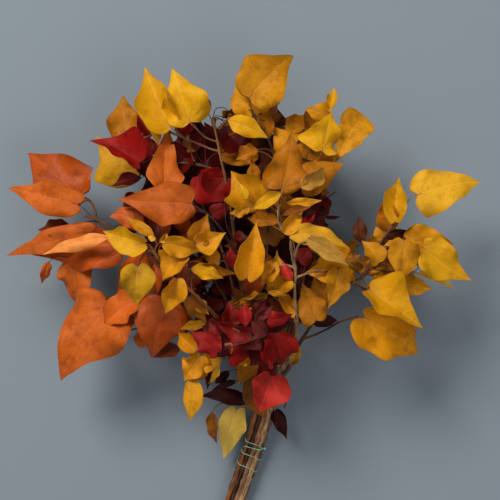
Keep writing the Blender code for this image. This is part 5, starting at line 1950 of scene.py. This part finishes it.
@dataclass
class InnerLeaves:
    """Leaves inside the bunch, hung wherever the eye would look through it to the floor.

    inside: circles inside the bunch in the frame: across, down, radius, and the tones that close a gap; the
    dark red and brown tones deep in the bunch are partly painted shade
    high_part: circles where leaves hang over the stems as well
    """

    branches: Sequence[LeafyBranch]
    shift: Vector
    inside: tuple[tuple[float, float, float, tuple[Tone, ...]], ...] = (
        (215, 286, 22, (BURGUNDY, WINE, EMBER)),
        (205, 185, 60, (WINE, CRIMSON, BURGUNDY)),
        (255, 190, 60, (DULL, WINE, NUT)),
        (215, 250, 60, (BURGUNDY, WINE, EMBER)), (265, 255, 50, (BURGUNDY, WINE)),
        (235, 310, 52, (WINE, CRIMSON, SCARLET)), (260, 335, 40, (CRIMSON, WINE)),
        (155, 225, 36, (EMBER, RUST)), (168, 300, 34, (RUST, EMBER)),
        (300, 205, 34, (DULL, CRIMSON)), (305, 268, 36, (BROWN_GOLD, DULL, WINE)),
        (340, 262, 22, (DULL, GOLD)), (395, 258, 26, (GOLD, DULL)),
        (255, 130, 34, (BROWN_GOLD, DULL)), (300, 150, 34, (DULL, GOLD)))
    high_part: tuple[Place, ...] = ((245, 238, 46), (212, 262, 30), (250, 290, 40))
    high_rounds: int = 3
    high_levels: tuple[float, float] = (108, 142)
    high_lengths: tuple[float, float] = (17, 28)
    rounds: int = 13
    shrink: float = 0.045
    pitch: float = 6.0
    levels: tuple[float, float] = (26, 112)
    lengths: tuple[float, float] = (22, 42)
    slimness: tuple[float, float] = (0.62, 0.84)
    farthest: float = 75.0
    lowest: float = 2.0
    probes: Outline = ((0.15, 0.0), (1.0, 0.0), (0.3, -0.9), (0.3, 0.9), (0.6, 0.0), (0.6, -0.5), (0.6, 0.5))

    def __post_init__(self) -> None:
        """Take the leaves that hang so far."""
        self.low, self.high = (corner / MM + self.shift for corner in CAD_BOX)
        self.sheets = [self.sheet(leaf.pose) for branch in self.branches for leaf in branch.leaves]
        self.trees = [BVHTree.FromPolygons(*sheet) for sheet in self.sheets]
        self.lows = [np.min(points, axis=0) for points, _ in self.sheets]
        self.highs = [np.max(points, axis=0) for points, _ in self.sheets]
        self.front = self.joined()
        self.draw = random.Random("inner leaves")

    @staticmethod
    def sheet(pose: LeafPose) -> tuple[list[Vector], list[tuple[int, ...]]]:
        """Give a leaf's plain blade as one sheet.

        Args:
            pose: where the leaf lies.

        Returns:
            Its points and its triangles.
        """
        corners = [Vector(point) for point in pose.corners()]
        tip, left, right = 1, list(range(2, len(corners) + 1, 2)), list(range(3, len(corners) + 1, 2))
        faces = []
        for rim in (left + [tip], right + [tip]):
            faces.extend((0, a, b) for a, b in zip(rim, rim[1:]))
        return [pose.base] + corners, faces

    def joined(self) -> BVHTree:
        """Join all the sheets in one search tree.

        Returns:
            The tree.
        """
        points, faces = [], []
        for sheet_points, sheet_faces in self.sheets:
            faces.extend(tuple(len(points) + k for k in face) for face in sheet_faces)
            points.extend(sheet_points)
        return BVHTree.FromPolygons(points, faces)

    def tones_at(self, across: float, down: float) -> tuple[Tone, ...]:
        """Give the tones that leaves inside the bunch have at a place in the frame.

        Args:
            across: how far across the frame.
            down: how far down it.

        Returns:
            The tones, none outside the bunch.
        """
        for middle_across, middle_down, radius, tones in self.inside:
            if math.hypot(across - middle_across, down - middle_down) < radius:
                return tones
        return ()

    def gaps(self) -> Iterator[tuple[float, float, Tone]]:
        """Find where the eye looks through the inside of the bunch.

        Returns:
            How far across and down each place is, and the tone that closes it.
        """
        seen = self.joined()
        count = int(2 * FRAME_MIDDLE / self.pitch)
        for row in range(count):
            for column in range(count):
                across = (column + self.draw.uniform(0, 1)) * self.pitch
                down = (row + self.draw.uniform(0, 1)) * self.pitch
                tones = self.tones_at(across, down)
                ray = (place(across, down, 0) - EYE).normalized()
                if tones and seen.ray_cast(EYE, ray)[0] is None:
                    yield across, down, self.draw.choice(tones)

    def hang_at(self, across: float, down: float, tone: Tone, high: bool,
                size: float) -> tuple[LeafyBranch, HungLeaf]:
        """Set out a leaf that closes a gap, on the nearest wood of a branch of its colour.

        Args:
            across: where the gap is in the frame.
            down: where it is down the frame.
            tone: the leaf's tone.
            high: whether it hangs over the stems.
            size: a factor for its length.

        Returns:
            The branch and the leaf.
        """
        middle = place(across, down, self.draw.uniform(*(self.high_levels if high else self.levels)))
        alike = [branch for branch in self.branches if branch.hue == HUES[tone]]
        branch, (root, lead, _) = min(((branch, spot) for branch in alike for spot in branch.wood.walk),
                                      key=lambda item: (item[1][0] - middle).length)
        length = self.draw.uniform(*(self.high_lengths if high else self.lengths)) * size
        way = (middle - root).normalized() * 1.2
        way += Vector((self.draw.uniform(-0.7, 0.7), self.draw.uniform(-0.5, 0.9),
                       self.draw.uniform(-0.5, 0.3)))
        way.normalize()
        base = middle - way * (0.45 * length)
        seed = f"inner {across:.2f} {down:.2f}"
        pose = LeafPose(base, base + way * length, length * self.draw.uniform(*self.slimness), PLAIN, seed)
        return branch, HungLeaf(pose, pose.stalk_course(root, lead), tone)

    def fits(self, leaf: HungLeaf) -> bool:
        """Tell whether a leaf is free of the others, inside the bunch and behind what the eye sees.

        Args:
            leaf: the leaf.

        Returns:
            Whether it may hang there.
        """
        points, faces = self.sheet(leaf.pose)
        low, high = np.min(points, axis=0), np.max(points, axis=0)
        if low[2] < self.lowest or (leaf.pose.base - leaf.stalk[-1]).length > self.farthest:
            return False
        if any(low[k] < self.low[k] or high[k] > self.high[k] for k in range(3)):
            return False
        t, x = (np.array(values) for values in zip(*self.probes))
        for point in leaf.pose.surface(t, x):
            ray = (Vector(point) - EYE).normalized()
            if self.front.ray_cast(Vector(point), ray)[0] is not None:
                return False
            if self.front.ray_cast(EYE, ray)[0] is None and not self.is_inside(point):
                return False
        near = np.all((np.array(self.lows) <= high) & (np.array(self.highs) >= low), axis=1)
        own = BVHTree.FromPolygons(points, faces)
        return not any(own.overlap(self.trees[k]) for k in np.flatnonzero(near))

    def is_inside(self, point: np.ndarray) -> bool:
        """Tell whether the eye sees a point in one of the circles inside the bunch."""
        spread = (EYE_HEIGHT + EYE_LEVEL - point[2]) / EYE_HEIGHT
        return bool(self.tones_at(point[0] / spread + FRAME_MIDDLE, FRAME_MIDDLE - point[1] / spread))

    def hang(self) -> int:
        """Hang the leaves.

        Returns:
            How many there are.
        """
        count = 0
        for number in range(self.high_rounds + self.rounds):
            high = number < self.high_rounds
            for across, down, tone in list(self.gaps()):
                if high and not any(math.dist((across, down), part[:2]) < part[2] for part in self.high_part):
                    continue
                size = 1 - self.shrink * max(0, number - self.high_rounds)
                branch, leaf = self.hang_at(across, down, tone, high, size)
                if self.fits(leaf):
                    branch.leaves.append(leaf)
                    sheet = self.sheet(leaf.pose)
                    self.sheets.append(sheet)
                    self.trees.append(BVHTree.FromPolygons(*sheet))
                    self.lows.append(np.min(sheet[0], axis=0))
                    self.highs.append(np.max(sheet[0], axis=0))
                    count += 1
        return count


def main() -> None:
    """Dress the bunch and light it."""
    logging.basicConfig(level=logging.INFO, format="%(name)s: %(message)s")
    tie = StringTie()
    shift = tie.shift()
    log.info("the frame was moved by %.3f, %.3f mm", shift.x, shift.y)
    leaf_finishes = {hue: PreservedIvyLeaf(f"preserved_ivy_leaf_{hue}", SHINES[hue]).make() for hue in SLOTS}
    bark_finish = IvyBark("ivy_bark").make()
    branches = [LeafyBranch(name, plan, shift) for name, plan in BRANCHES.items()]
    log.info("%d leaves in the frame", sum(len(branch.leaves) for branch in branches))
    log.info("%d leaves inside", InnerLeaves(branches, shift).hang())
    for branch in branches:
        branch.build(leaf_finishes[branch.hue], bark_finish)
    thread = Skin()
    tie.build(thread)
    thread.piece("tie_thread", WaxedThread("waxed_cotton_thread").make(), shift, "tie_string", "string")
    Studio(-shift * MM).build()


if __name__ == "__main__":
    main()
